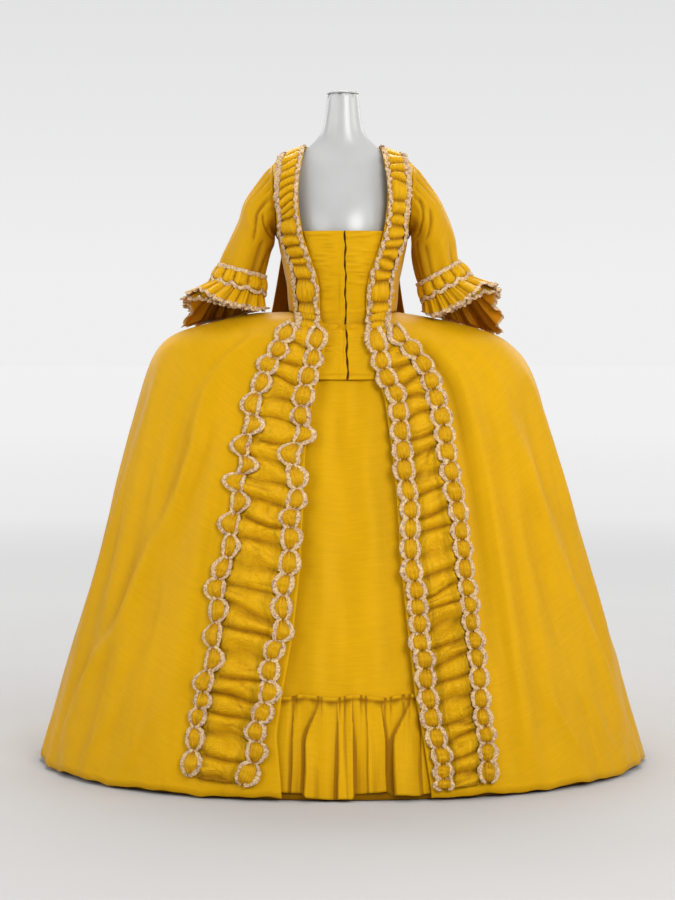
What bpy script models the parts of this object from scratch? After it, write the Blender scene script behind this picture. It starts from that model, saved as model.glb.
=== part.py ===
"""Robe a la francaise on a limbless dress form, as it is cut and sewn.

Metres, +Z up. The front faces -Y and the origin is under the middle of the
stand's base. Every cloth piece is an open sheet of rows of points, thickened
inwards; what is sewn on a panel is made from that panel's points, moved out.
"""
import math

import bmesh
import bpy
from mathutils import Vector

COLLECTION = "robe_a_la_francaise"

# Cloth walls and clearances
CLOTH = 0.0015
FRINGE_WALL = 0.001
SEAM = 0.0005
PETTICOAT_INSET_TOP = 0.010
PETTICOAT_INSET_HEM = 0.020
STOMACHER_INSET = 0.0062
SACK_LIFT_TOP = 0.010
SACK_LIFT_HEM = 0.005
WAIST_RISE = 0.0010

# Stand and form
BASE_RADIUS = 0.220
BASE_RIM = 0.010
BASE_HUB_RADIUS = 0.045
BASE_HUB_HEIGHT = 0.040
POLE_RADIUS = 0.016
FORM_SIDES = 28
FORM_BOTTOM = 0.840
NECK_TOP = 1.486
NECK_TOP_RADIUS = 0.0355
CAP_THICKNESS = 0.004
TOUCH = 0.0003

# Trimmings
TRIM_HALF_WIDTH = 0.025
PUFF_HALF_WIDTH = 0.018
PINCH_HALF_WIDTH = 0.006
PUFF_LIFT = 0.009
PINCH_LIFT = 0.0042
SEWN_LIFT = 0.0020
FRINGE_LIFT = 0.0016
ROLL_LIFT = 0.011
ROLL_TROUGH = 0.0030
ROBING_PUFFS = 12
ROBING_WIDTH = 0.055

# Silhouette of the skirts, waist to hem: one row a ring. The sides differ a little.
SKIRT_COLUMNS = ("left_x", "left_z", "right_x", "right_z", "front_y", "front_z", "back_y", "back_z", "square")
SKIRT_RINGS = [
    (0.119, 1.002, 0.119, 1.002, 0.128, 0.985, 0.100, 1.000, 2.2),
    (0.205, 0.998, 0.196, 0.989, 0.146, 0.962, 0.150, 0.985, 2.2),
    (0.285, 0.980, 0.275, 0.972, 0.157, 0.942, 0.185, 0.962, 2.3),
    (0.350, 0.963, 0.345, 0.949, 0.165, 0.918, 0.215, 0.935, 2.4),
    (0.388, 0.945, 0.380, 0.923, 0.173, 0.893, 0.240, 0.905, 2.4),
    (0.413, 0.921, 0.408, 0.887, 0.184, 0.862, 0.265, 0.868, 2.4),
    (0.436, 0.872, 0.434, 0.834, 0.203, 0.812, 0.300, 0.812, 2.3),
    (0.465, 0.775, 0.465, 0.740, 0.240, 0.720, 0.360, 0.718, 2.2),
    (0.510, 0.610, 0.512, 0.590, 0.300, 0.572, 0.450, 0.568, 2.15),
    (0.560, 0.415, 0.562, 0.405, 0.370, 0.393, 0.555, 0.388, 2.1),
    (0.622, 0.215, 0.622, 0.212, 0.440, 0.205, 0.660, 0.200, 2.1),
    (0.679, 0.022, 0.679, 0.022, 0.500, 0.020, 0.775, 0.020, 2.1),
]
HEM_RING = len(SKIRT_RINGS) - 1

# Middle lines of the two chains on each robe front, and the robe's front edge.
LADDER_COLUMNS = ("height", "edge", "inner", "outer")
LADDERS = {
    "left": [
        (0.985, 0.028, 0.052, 0.098),
        (0.940, 0.032, 0.057, 0.124),
        (0.880, 0.046, 0.071, 0.160),
        (0.810, 0.062, 0.087, 0.191),
        (0.700, 0.078, 0.103, 0.218),
        (0.600, 0.081, 0.106, 0.233),
        (0.460, 0.087, 0.112, 0.248),
        (0.330, 0.101, 0.126, 0.266),
        (0.210, 0.123, 0.152, 0.286),
        (0.130, 0.134, 0.174, 0.298),
        (0.020, 0.123, 0.195, 0.310),
    ],
    "right": [
        (0.985, 0.036, 0.060, 0.098),
        (0.940, 0.046, 0.072, 0.120),
        (0.880, 0.065, 0.090, 0.168),
        (0.810, 0.087, 0.112, 0.200),
        (0.700, 0.102, 0.127, 0.220),
        (0.600, 0.111, 0.136, 0.236),
        (0.460, 0.119, 0.144, 0.250),
        (0.330, 0.132, 0.157, 0.262),
        (0.210, 0.145, 0.170, 0.278),
        (0.130, 0.160, 0.186, 0.288),
        (0.020, 0.177, 0.203, 0.292),
    ],
}
LINKS = {"left": (22, 22), "right": (25, 25)}
ROLLS = {"left": 22, "right": 25}
LINK_SWAY = (0.3, -0.6, 0.5, -0.2, 0.7, -0.7, 0.1)
SWAY = 0.006
TRIM_FIRST_RING = 1.0
TRIM_LAST_RING = 10.9
SIDE_TURNS = (0.16, 0.36, 0.58, 0.80, 1.0)

# Body of the bodice from the waist up: half width and depth to the front, and how far from the
# middle its front edge lies.
BODY_COLUMNS = ("height", "half_width", "depth", "edge_x")
BODY = [
    (1.060, 0.1250, 0.1400, 0.0535),
    (1.115, 0.1360, 0.1470, 0.0700),
    (1.165, 0.1455, 0.1500, 0.0870),
]
BODY_SQUARE = 2.2
BODY_STEPS = (0.0, 0.52, 1.0)

# Shoulder strap, from the armhole's foot over the shoulder to its seam at the back: the neck
# side and the armhole side, and how far it rounds between them.
STRAP_COLUMNS = ("in_x", "in_y", "in_z", "out_x", "out_y", "out_z", "bulge")
STRAP = [
    (0.0950, -0.1200, 1.210, 0.1480, -0.0520, 1.206, 0.011),
    (0.0985, -0.1060, 1.255, 0.1500, -0.0620, 1.250, 0.008),
    (0.0960, -0.0860, 1.300, 0.1530, -0.0560, 1.292, 0.006),
    (0.0900, -0.0580, 1.340, 0.1560, -0.0320, 1.318, 0.006),
    (0.0860, -0.0250, 1.362, 0.1580, -0.0060, 1.328, 0.006),
    (0.0830, 0.0080, 1.367, 0.1570, 0.0200, 1.325, 0.006),
    (0.0785, 0.0360, 1.360, 0.1540, 0.0440, 1.310, 0.005),
    (0.0740, 0.0600, 1.344, 0.1500, 0.0590, 1.290, 0.004),
]
UNDERARM_ROW = 3

# Fitted back, waist to neck: its edge at the side seam or armhole, and its middle.
BACK_COLUMNS = ("edge_x", "edge_y", "edge_z", "mid_y", "mid_z", "round")
BODICE_BACK = [
    (0.1250, 0.0006, 1.060, 0.101, 1.060, 2.2),
    (0.1360, 0.0006, 1.115, 0.104, 1.115, 2.2),
    (0.1455, 0.0006, 1.165, 0.108, 1.165, 2.2),
    (0.1470, 0.0520, 1.206, 0.110, 1.210, 2.5),
    (0.1480, 0.0600, 1.250, 0.109, 1.256, 2.5),
]
BACK_STEPS = (-1.0, -0.74, -0.49, -0.25, 0.0, 0.25, 0.49, 0.74, 1.0)
NECK_BACK = {0.0: (0.0, 0.0870, 1.350), 0.25: (0.040, 0.0810, 1.348), 0.49: (0.0738, 0.0612, 1.3430),
             0.74: (0.112, 0.0645, 1.3170), 1.0: (0.1500, 0.0603, 1.2890)}

# Sack back, neck to the level where it lies on the skirts.
SACK_COLUMNS = ("mid_y", "mid_z", "edge_y", "edge_z", "left_x", "right_x", "pleat")
SACK_TOP = [
    (0.0920, 1.351, 0.0675, 1.342, 0.082, 0.082, 0.002),
    (0.1080, 1.320, 0.0950, 1.316, 0.100, 0.100, 0.006),
    (0.1280, 1.250, 0.1080, 1.248, 0.116, 0.112, 0.009),
    (0.1560, 1.160, 0.1150, 1.160, 0.136, 0.124, 0.011),
    (0.1950, 1.060, 0.1450, 1.060, 0.154, 0.134, 0.012),
    (0.2380, 0.975, 0.2050, 0.975, 0.172, 0.152, 0.012),
]
SACK_STEPS = (-1.0, -0.78, -0.47, -0.43, -0.13, -0.09, 0.09, 0.13, 0.43, 0.47, 0.78, 1.0)
SACK_PLEATS = (0.0, 0.0, 0.0, 1.0, 1.0, 0.0, 0.0, 1.0, 1.0, 0.0, 0.0, 0.0)
SACK_FIRST_RING = 4
SACK_TURN_TOP = 24.0
SACK_TURN_HEM = 38.0
SACK_HEM_PLEAT = 0.016

# Sleeves, armhole to elbow: the axis and the half sizes of each ring, and the lean of its plane.
SLEEVE_COLUMNS = ("x", "y", "z", "wide", "deep", "lean")
SLEEVES = {
    "left": [
        (0.190, 0.000, 1.222, 0.0620, 0.066, 52.0),
        (0.201, -0.002, 1.184, 0.0570, 0.062, 31.0),
        (0.213, -0.005, 1.148, 0.0535, 0.058, 18.0),
        (0.2229, -0.011, 1.1151, 0.0500, 0.054, 16.0),
        (0.229, -0.011, 1.094, 0.0500, 0.054, 16.0),
    ],
    "right": [
        (0.1825, 0.000, 1.218, 0.0545, 0.066, 56.0),
        (0.1945, -0.002, 1.180, 0.0520, 0.062, 36.0),
        (0.2035, -0.005, 1.145, 0.0525, 0.058, 26.0),
        (0.2094, -0.011, 1.1098, 0.0500, 0.054, 26.0),
        (0.219, -0.011, 1.090, 0.0500, 0.054, 26.0),
    ],
}
SLEEVE_SIDES = 12
BAND_SIDES = 12
FLOUNCE_SIDES = 20
# Ruched band: how far down from the sleeve's end each edge lies, and how far out it stands.
BAND_COLUMNS = ("down", "out")
BAND = [(-0.0130, 0.0020), (0.0, 0.0115), (0.0140, 0.0125)]
BAND_FRINGE_TOP = [(-0.0200, 0.0018), (-0.0136, 0.0018)]
BAND_FRINGE_LOW = [(0.0146, 0.0132), (0.0215, 0.0160)]
FLOUNCE_COLUMNS = ("gap", "front", "outer", "back", "inner", "flare", "drift_x", "drift_y", "wave")
FLOUNCES = {
    "upper": (0.0026, 0.052, 0.090, 0.095, 0.044, 0.036, 0.020, 0.004, 0.0035),
    "lower": (0.0004, 0.040, 0.140, 0.160, 0.044, 0.026, 0.022, 0.010, 0.0030),
}
FLOUNCE_LEVELS = (0.0, 0.33, 1.0)
FLOUNCE_FRINGE = 0.010
FLOUNCE_CLEAR = 0.008

# Stomacher: how far each half reaches from the closing, top to bottom.
STOMACHER_COLUMNS = ("height", "left", "right")
STOMACHER = [(1.176, 0.093, 0.092), (1.115, 0.077, 0.077), (1.060, 0.060, 0.061)]
TAIL_COLUMNS = ("ring", "left", "right")
STOMACHER_TAIL = [(0.0, 0.055, 0.057), (1.0, 0.052, 0.058), (2.0, 0.054, 0.060), (3.0, 0.058, 0.064),
                  (4.0, 0.061, 0.068), (5.15, 0.062, 0.070)]
CLOSING_GAP = 0.0024
UNDERLAP_HALF = 0.011

# Petticoat and its flounce
PETTICOAT_RINGS = (0.2, 2, 4, 5, 6, 7, 8, 9, 10, 11)
PETTICOAT_FRONT_STEPS = 10
PETTICOAT_BACK_STEPS = 7
FLOUNCE_TOP = 0.208
FLOUNCE_HEM = 0.013
FLOUNCE_LEFT = -0.211
FLOUNCE_RIGHT = 0.211
# Flat folds of the flounce, left to right, and how far each stands out at the hem.
FOLD_COLUMNS = ("left_x", "right_x", "rise")
FLOUNCE_FOLDS = [
    (-0.194, -0.158, 0.009),
    (-0.152, -0.105, 0.013),
    (-0.099, -0.050, 0.016),
    (-0.045, -0.018, 0.012),
    (-0.013, 0.012, 0.015),
    (0.017, 0.045, 0.012),
    (0.050, 0.078, 0.016),
    (0.083, 0.104, 0.012),
    (0.110, 0.152, 0.016),
    (0.160, 0.194, 0.009),
]
FOLD_TURN = 0.004
FLOUNCE_LIFT = 0.0033

# Form: heights from the hips to the neck, half width, and depth to the front and to the back.
FORM_COLUMNS = ("height", "half_width", "front", "back", "square")
FORM_RINGS = [
    (0.840, 0.144, 0.106, 0.112, 2.1),
    (0.900, 0.134, 0.098, 0.102, 2.1),
    (0.950, 0.112, 0.092, 0.088, 2.1),
    (1.000, 0.096, 0.100, 0.078, 2.1),
    (1.060, 0.104, 0.116, 0.083, 2.1),
    (1.120, 0.116, 0.127, 0.089, 2.1),
    (1.170, 0.127, 0.134, 0.094, 2.1),
    (1.215, 0.131, 0.127, 0.095, 2.0),
    (1.255, 0.131, 0.111, 0.092, 2.0),
    (1.297, 0.131, 0.085, 0.084, 2.0),
    (1.3244, 0.127, 0.071, 0.073, 2.0),
    (1.3414, 0.113, 0.061, 0.065, 2.0),
    (1.3554, 0.094, 0.054, 0.059, 2.0),
    (1.3693, 0.076, 0.049, 0.054, 2.0),
    (1.3830, 0.0610, 0.0460, 0.0490, 2.0),
    (1.3970, 0.0505, 0.0440, 0.0455, 2.0),
    (1.412, 0.0440, 0.0415, 0.0420, 2.0),
    (1.450, 0.0385, 0.0380, 0.0380, 2.0),
    (1.486, 0.0355, 0.0355, 0.0355, 2.0),
]


def clear_scene():
    for thing in list(bpy.data.objects):
        bpy.data.objects.remove(thing, do_unlink=True)


def new_material(name, colour, roughness, metallic=0.0):
    material = bpy.data.materials.new(name)
    material.use_nodes = True
    shader = material.node_tree.nodes["Principled BSDF"]
    shader.inputs["Base Color"].default_value = (*colour, 1.0)
    shader.inputs["Roughness"].default_value = roughness
    shader.inputs["Metallic"].default_value = metallic
    return material


def make_materials():
    return {
        "silk": new_material("silk", (0.72, 0.39, 0.02), 0.45),
        "underlap": new_material("underlap", (0.09, 0.02, 0.012), 0.7),
        "fringe": new_material("fringe", (0.60, 0.47, 0.38), 0.8),
        "form": new_material("form", (0.74, 0.75, 0.74), 0.25),
        "stand": new_material("stand", (0.55, 0.55, 0.56), 0.35, 0.6),
    }


def place(part, material):
    """Give a new piece its material and put it in the garment's collection."""
    part.data.materials.append(material)
    part.data.shade_smooth()
    bpy.data.collections[COLLECTION].objects.link(part)
    return part


def mix(a, b, t):
    return a + (b - a) * t


def named(columns, row):
    return dict(zip(columns, row))


def read_table(table, columns, column, key):
    """Value of a column where the table's first column has this key."""
    wanted = columns.index(column)
    for low, high in zip(table, table[1:]):
        if min(low[0], high[0]) <= key <= max(low[0], high[0]):
            return mix(low[wanted], high[wanted], (key - low[0]) / (high[0] - low[0]))
    nearest = min(table[0], table[-1], key=lambda row: abs(row[0] - key))
    return nearest[wanted]


def sign_of(side):
    return 1.0 if side == "right" else -1.0


def facing(side, line):
    """A right-hand row of points as it runs to the right on either side."""
    return line if side == "right" else line[::-1]


def mirrored(rows):
    return [[Vector((-p.x, p.y, p.z)) for p in reversed(row)] for row in rows]


# ---------------------------------------------------------------- the skirts' surface

def ring_row(ring):
    """Row of the skirt table at a ring, with fractions between rings."""
    low = min(int(ring), HEM_RING - 1)
    pair = zip(SKIRT_RINGS[low], SKIRT_RINGS[low + 1])
    return named(SKIRT_COLUMNS, [mix(a, b, ring - low) for a, b in pair])


def skirt_point(ring, turn):
    """Point of the outer skirt; turn is in degrees from the front, + towards the right."""
    turn = (turn + 180.0) % 360.0 - 180.0
    row = ring_row(ring)
    side = "right" if turn >= 0 else "left"
    angle = math.radians(abs(turn))
    power = 2.0 / row["square"]
    cosine = math.cos(angle)
    end = "front" if cosine >= 0 else "back"
    x = math.copysign(row[side + "_x"] * math.sin(angle) ** power, turn)
    depth = row[end + "_y"] * abs(cosine) ** power
    z = mix(row[side + "_z"], row[end + "_z"], cosine ** 2)
    return Vector((x, -depth if end == "front" else depth, z))


def skirt_normal(ring, turn):
    """Outward direction of the outer skirt."""
    low, high = max(ring - 0.3, 0.0), min(ring + 0.3, float(HEM_RING))
    down = skirt_point(high, turn) - skirt_point(low, turn)
    across = skirt_point(ring, turn + 2.0) - skirt_point(ring, turn - 2.0)
    return down.cross(across).normalized()


def turn_at(ring, x):
    """Turn of the point of a ring's front that lies at x."""
    row = ring_row(ring)
    reach = row["right_x" if x >= 0 else "left_x"]
    ratio = min(abs(x) / reach, 1.0)
    return math.copysign(math.degrees(math.asin(ratio ** (row["square"] / 2.0))), x)


def skirt_height(x, y):
    """Height of the skirts' top over a place, found by widening the ring until it holds it."""
    low, high = 0.0, float(HEM_RING)
    for _ in range(24):
        ring = (low + high) / 2.0
        row = ring_row(ring)
        reach = row["right_x" if x >= 0 else "left_x"]
        depth = row["front_y" if y < 0 else "back_y"]
        spread = (abs(x) / reach) ** row["square"] + (abs(y) / depth) ** row["square"]
        low, high = (ring, high) if spread > 1.0 else (low, ring)
    row = ring_row(low)
    share = min((abs(y) / row["front_y" if y < 0 else "back_y"]) ** row["square"], 1.0)
    side_z = row["right_z" if x >= 0 else "left_z"]
    return mix(side_z, row["front_z" if y < 0 else "back_z"], share)


# ---------------------------------------------------------------- sheets and turned pieces

def normals_of(rows, closed=False):
    """Outward direction at each point of a grid, from its neighbours."""
    last_row, width = len(rows) - 1, len(rows[0])
    result = []
    for r, row in enumerate(rows):
        line = []
        for c in range(width):
            if closed:
                before, after = row[c - 1], row[(c + 1) % width]
            else:
                before, after = row[max(c - 1, 0)], row[min(c + 1, width - 1)]
            above, below = rows[max(r - 1, 0)][c], rows[min(r + 1, last_row)][c]
            line.append((below - above).cross(after - before).normalized())
        result.append(line)
    return result


def moved(rows, distance):
    """A grid moved outwards; distance is a number or a function of row and column."""
    directions = normals_of(rows)
    result = []
    for r, row in enumerate(rows):
        line = []
        for c, point in enumerate(row):
            reach = distance(r, c) if callable(distance) else distance
            line.append(point + directions[r][c] * reach)
        result.append(line)
    return result


def sheet(name, rows, material, wall=CLOTH, closed=False):
    """A cloth piece: rows run down and points run to the right, seen from outside."""
    width = len(rows[0])
    faces = []
    for r in range(len(rows) - 1):
        for c in range(width if closed else width - 1):
            a, b = r * width + c, r * width + (c + 1) % width
            faces.append((a, a + width, b + width))
            faces.append((a, b + width, b))
    mesh = bpy.data.meshes.new(name)
    mesh.from_pydata([tuple(point) for row in rows for point in row], [], faces)
    part = place(bpy.data.objects.new(name, mesh), material)
    solid = part.modifiers.new("wall", "SOLIDIFY")
    solid.thickness = wall
    solid.offset = -1.0
    return part


def turned(name, profile, material, steps=32):
    """A turned piece: its profile is (radius, height), down its outer side."""
    mesh = bpy.data.meshes.new(name)
    edges = [(i, i + 1) for i in range(len(profile) - 1)]
    mesh.from_pydata([(radius, 0.0, height) for radius, height in profile], edges, [])
    part = place(bpy.data.objects.new(name, mesh), material)
    screw = part.modifiers.new("turned", "SCREW")
    screw.steps = screw.render_steps = steps
    screw.use_merge_vertices = True
    screw.merge_threshold = 0.00001
    return part


class Panel:
    """A cloth grid that trimmings lie on, read at any place between its points."""

    def __init__(self, rows):
        self.rows = rows
        self.directions = normals_of(rows)
        self.last_row = len(rows) - 1.0
        self.last_column = len(rows[0]) - 1.0

    def blend(self, grid, r, c):
        """Value on the triangle of the grid that holds row r and column c."""
        row = min(max(int(r), 0), len(grid) - 2)
        col = min(max(int(c), 0), len(grid[0]) - 2)
        down, across = r - row, c - col
        corner, far = grid[row][col], grid[row + 1][col + 1]
        if down >= across:
            left = grid[row + 1][col]
            return corner + (left - corner) * down + (far - left) * across
        right = grid[row][col + 1]
        return corner + (right - corner) * across + (far - right) * down

    def at(self, r, c, lift=0.0):
        return self.blend(self.rows, r, c) + self.blend(self.directions, r, c).normalized() * lift

    def column_at(self, r, x):
        """Column where row r reaches x."""
        low, high = 0.0, self.last_column
        for _ in range(24):
            middle = (low + high) / 2.0
            low, high = (middle, high) if self.at(r, middle).x < x else (low, middle)
        return low

    def beside(self, r, c, step):
        """Row and column of the place that lies a small step, a vector, from row r and column c."""
        near = 0.04
        here = self.at(r, c)
        down = (self.at(r + near, c) - here) / near
        across = (self.at(r, c + near) - here) / near
        normal = down.cross(across)
        area = normal.length_squared
        rise = step.cross(across).dot(normal) / area
        slide = down.cross(step).dot(normal) / area
        return r + rise, c + slide

    def along(self, path, count):
        """Places evenly spaced along a path that gives a column for each row."""
        first, last, column_for = path
        samples = [mix(first, last, i / 200.0) for i in range(201)]
        points = [self.at(r, column_for(r)) for r in samples]
        lengths = [0.0]
        for a, b in zip(points, points[1:]):
            lengths.append(lengths[-1] + (b - a).length)
        places = []
        for step in range(count + 1):
            target = lengths[-1] * step / count
            i = max(j for j in range(200) if lengths[j] <= target)
            share = (target - lengths[i]) / (lengths[i + 1] - lengths[i])
            r = mix(samples[i], samples[i + 1], min(share, 1.0))
            places.append((r, column_for(r)))
        return places


# ---------------------------------------------------------------- skirts

def ladder_x(side, column, ring):
    height = ring_row(ring)["front_z"]
    return sign_of(side) * read_table(LADDERS[side], LADDER_COLUMNS, column, height)


def skirt_front_rows(side):
    """Robe skirt front: its edge, the edges of its trimmings, then round to the side seam."""
    sign = sign_of(side)
    rows = []
    for ring in range(HEM_RING + 1):
        inner, outer = abs(ladder_x(side, "inner", ring)), abs(ladder_x(side, "outer", ring))
        edge = abs(ladder_x(side, "edge", ring))
        narrow = min(TRIM_HALF_WIDTH, (outer - inner) * 0.36)
        stops = (edge, inner + narrow, outer - narrow, outer + narrow)
        turns = [turn_at(ring, sign * x) for x in stops]
        turns += [mix(turns[-1], sign * 89.93, share) for share in SIDE_TURNS]
        rows.append(facing(side, [skirt_point(ring, turn) for turn in turns]))
    return rows


def sack_turn(ring):
    share = (ring - SACK_FIRST_RING) / (HEM_RING - SACK_FIRST_RING)
    return mix(SACK_TURN_TOP, SACK_TURN_HEM, max(share, 0.0))


def skirt_back_rows(side):
    """Robe skirt back, from the side seam to just under the sack's edge."""
    sign = sign_of(side)
    rows = []
    for ring in range(HEM_RING + 1):
        end = 180.0 - sack_turn(ring) + 4.0
        turns = [sign * mix(90.07, end, step / 5.0) for step in range(6)]
        rows.append(facing(side, [skirt_point(ring, turn) for turn in turns]))
    return rows


def sack_rows():
    """Sack back: its own fall above the skirts, then the back of the skirts moved out."""
    rows = []
    for row in SACK_TOP:
        fall = named(SACK_COLUMNS, row)
        line = []
        for step, pleat in zip(SACK_STEPS, SACK_PLEATS):
            reach = fall["left_x"] if step > 0 else fall["right_x"]
            y = mix(fall["mid_y"], fall["edge_y"], step * step) + fall["pleat"] * pleat
            z = mix(fall["mid_z"], fall["edge_z"], step * step)
            line.append(Vector((-step * reach, y, z)))
        rows.append(line)
    below = []
    for ring in range(SACK_FIRST_RING, HEM_RING + 1):
        turns = [180.0 + step * sack_turn(ring) for step in SACK_STEPS]
        below.append([skirt_point(ring, turn) for turn in turns])

    def lift(r, c):
        share = r / (len(below) - 1)
        return mix(SACK_LIFT_TOP, SACK_LIFT_HEM, share) + mix(0.012, SACK_HEM_PLEAT, share) * SACK_PLEATS[c]

    return rows + moved(below, lift)


def petticoat_rows(first_turn, last_turn, steps):
    """Petticoat panel between two turns, inside the robe's skirts."""
    rows = []
    for ring in PETTICOAT_RINGS:
        inset = mix(PETTICOAT_INSET_TOP, PETTICOAT_INSET_HEM, ring / HEM_RING)
        turns = [mix(first_turn, last_turn, step / steps) for step in range(steps + 1)]
        rows.append([skirt_point(ring, turn) - skirt_normal(ring, turn) * inset for turn in turns])
    return rows


def make_skirts(materials):
    panels = {}
    for side in ("left", "right"):
        rows = skirt_front_rows(side)
        panels[side] = Panel(rows)
        sheet("skirt_front_" + side, rows, materials["silk"])
        sheet("skirt_back_" + side, skirt_back_rows(side), materials["silk"])
    sheet("sack_back", sack_rows(), materials["silk"])
    front = petticoat_rows(-89.9, 89.9, PETTICOAT_FRONT_STEPS)
    sheet("petticoat_front", front, materials["silk"])
    sheet("petticoat_back", petticoat_rows(90.1, 269.9, PETTICOAT_BACK_STEPS), materials["silk"])
    return panels, Panel(front)


def flounce_line():
    """Places across the petticoat flounce and how far each stands out at the hem."""
    line = [(FLOUNCE_LEFT, 0.0)]
    for row in FLOUNCE_FOLDS:
        fold = named(FOLD_COLUMNS, row)
        line += [(fold["left_x"], 0.0), (fold["left_x"] + FOLD_TURN, fold["rise"])]
        line += [(fold["right_x"] - FOLD_TURN, fold["rise"]), (fold["right_x"], 0.0)]
    return line + [(FLOUNCE_RIGHT, 0.0)]


def make_petticoat_flounce(panel, materials):
    """Gathered flounce on the petticoat's front: its flat folds open towards the hem."""
    front_z = [ring_row(ring)["front_z"] for ring in (HEM_RING - 1, HEM_RING)]
    rows = []
    middle = mix(FLOUNCE_TOP, FLOUNCE_HEM, 0.5)
    for height, share in ((FLOUNCE_TOP, 0.25), (middle, 0.7), (FLOUNCE_HEM, 1.0)):
        r = panel.last_row - (height - front_z[1]) / (front_z[0] - front_z[1])
        line = []
        for x, rise in flounce_line():
            line.append(panel.at(r, panel.column_at(r, x), FLOUNCE_LIFT + share * rise))
        rows.append(line)
    sheet("petticoat_flounce", rows, materials["silk"])


# ---------------------------------------------------------------- bodice

def body_point(height, x):
    """Point of the bodice's front at a height and x, to the side seam."""
    row = [read_table(BODY, BODY_COLUMNS, name, height) for name in ("half_width", "depth")]
    ratio = min(abs(x) / row[0], 1.0)
    return Vector((x, -row[1] * (1.0 - ratio ** BODY_SQUARE) ** (1.0 / BODY_SQUARE), height))


def body_line(height, edge_x):
    """Bodice front at a height: the robing's two edges, then round to the side seam."""
    reach = read_table(BODY, BODY_COLUMNS, "half_width", height)
    robing_x = edge_x + ROBING_WIDTH * 0.90
    turn = math.asin((robing_x / reach) ** (BODY_SQUARE / 2.0))
    line = [body_point(height, edge_x)]
    for step in BODY_STEPS:
        angle = mix(turn, math.radians(89.6), step)
        line.append(body_point(height, reach * math.sin(angle) ** (2.0 / BODY_SQUARE)))
    return line


def bodice_front_rows(skirt):
    """Right bodice front: its strap's end first, then over the shoulder and down to the waist."""
    rows = []
    for row in reversed(STRAP):
        entry = named(STRAP_COLUMNS, row)
        inner = Vector((entry["in_x"], entry["in_y"], entry["in_z"]))
        outer = Vector((entry["out_x"], entry["out_y"], entry["out_z"]))
        robing = min(ROBING_WIDTH / (outer - inner).length, 0.8)
        shares = (0.0, robing, mix(robing, 1.0, 0.5), 1.0)
        rows.append([inner.lerp(outer, share) for share in shares])
    bulges = [row[-1] for row in reversed(STRAP)]

    def bulge(r, c):
        return bulges[r] * (0.0, 1.0, 0.7, 0.0)[c]

    rows = moved(rows, bulge)
    for height, _, _, edge_x in reversed(BODY):
        rows.append(body_line(height, edge_x))
    edge = skirt.column_at(0.0, 0.0500)
    robing = skirt.column_at(0.0, 0.0500 + ROBING_WIDTH * 0.8)
    stops = (edge, robing, mix(robing, skirt.last_column, 0.5), skirt.last_column)
    rows.append([skirt.at(0.0, stop) + Vector((0.0, 0.0, WAIST_RISE)) for stop in stops])
    return rows


def bodice_back_rows():
    """Fitted back: points run from the right side seam to the left, as seen from behind."""
    neck = []
    for step in BACK_STEPS:
        x, y, z = NECK_BACK[abs(step)]
        neck.append(Vector((math.copysign(x, -step), y, z)))
    rows = [neck]
    for row in reversed(BODICE_BACK):
        entry = named(BACK_COLUMNS, row)
        power = 2.0 / entry["round"]
        line = []
        for step in BACK_STEPS:
            angle = math.radians(90.0 * abs(step))
            x = entry["edge_x"] * math.sin(angle) ** power
            y = mix(entry["edge_y"], entry["mid_y"], max(math.cos(angle), 0.0) ** power)
            z = mix(entry["mid_z"], entry["edge_z"], step * step)
            line.append(Vector((math.copysign(x, -step), y, z)))
        rows.append(line)
    waist = [skirt_point(0, 180.0 + step * 89.7) for step in BACK_STEPS]
    rows.append([point + Vector((0.0, 0.0, WAIST_RISE)) for point in waist])
    return rows


def stomacher_line(side, reach, point_at):
    sign = sign_of(side)
    stops = [mix(CLOSING_GAP / 2.0, reach, share) for share in (0.0, 0.35, 0.7, 1.0)]
    return facing(side, [point_at(sign * x) for x in stops])


def stomacher_levels():
    """Each row of the stomacher with a function that gives its points by x."""
    levels = []
    for row in STOMACHER:
        entry = named(STOMACHER_COLUMNS, row)
        levels.append((entry, lambda x, height=entry["height"]: body_point(height, x)))
    for row in STOMACHER_TAIL:
        entry = named(TAIL_COLUMNS, row)
        levels.append((entry, lambda x, ring=entry["ring"]: skirt_point(ring, turn_at(ring, x))))
    return levels


def make_stomacher(materials):
    levels = stomacher_levels()
    for side in ("left", "right"):
        rows = [stomacher_line(side, entry[side], point_at) for entry, point_at in levels]
        sheet("stomacher_" + side, moved(rows, -STOMACHER_INSET), materials["silk"])
    rows = [[point_at(x) for x in (-UNDERLAP_HALF, 0.0, UNDERLAP_HALF)] for _, point_at in levels]
    inset = STOMACHER_INSET + CLOTH + 2.5 * SEAM
    sheet("stomacher_underlap", moved(rows, -inset), materials["underlap"], FRINGE_WALL)


def make_bodice(panels, materials):
    right = bodice_front_rows(panels["right"])
    fronts = {"right": right, "left": mirrored(right)}
    for side, rows in fronts.items():
        sheet("bodice_front_" + side, rows, materials["silk"])
    back = bodice_back_rows()
    sheet("bodice_back", back, materials["silk"])
    make_stomacher(materials)
    return fronts, back


# ---------------------------------------------------------------- sleeves

def armhole_loop(side, front, back):
    """Points round the armhole, from the underarm up the front and down the back."""
    front_column, back_column = (-1, 0) if side == "right" else (0, -1)
    front_edge = [row[front_column] for row in front[:-UNDERARM_ROW]]
    back_edge = [row[back_column] for row in back[1:-UNDERARM_ROW]]
    return front_edge[::-1] + back_edge


def even_loop(points, count):
    """The same closed loop with evenly spaced points, from its first one."""
    loop = points + [points[0]]
    lengths = [0.0]
    for a, b in zip(loop, loop[1:]):
        lengths.append(lengths[-1] + (b - a).length)
    result = []
    for step in range(count):
        target = lengths[-1] * step / count
        i = max(j for j in range(len(lengths) - 1) if lengths[j] <= target)
        share = (target - lengths[i]) / (lengths[i + 1] - lengths[i])
        result.append(loop[i].lerp(loop[i + 1], share))
    return result


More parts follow.
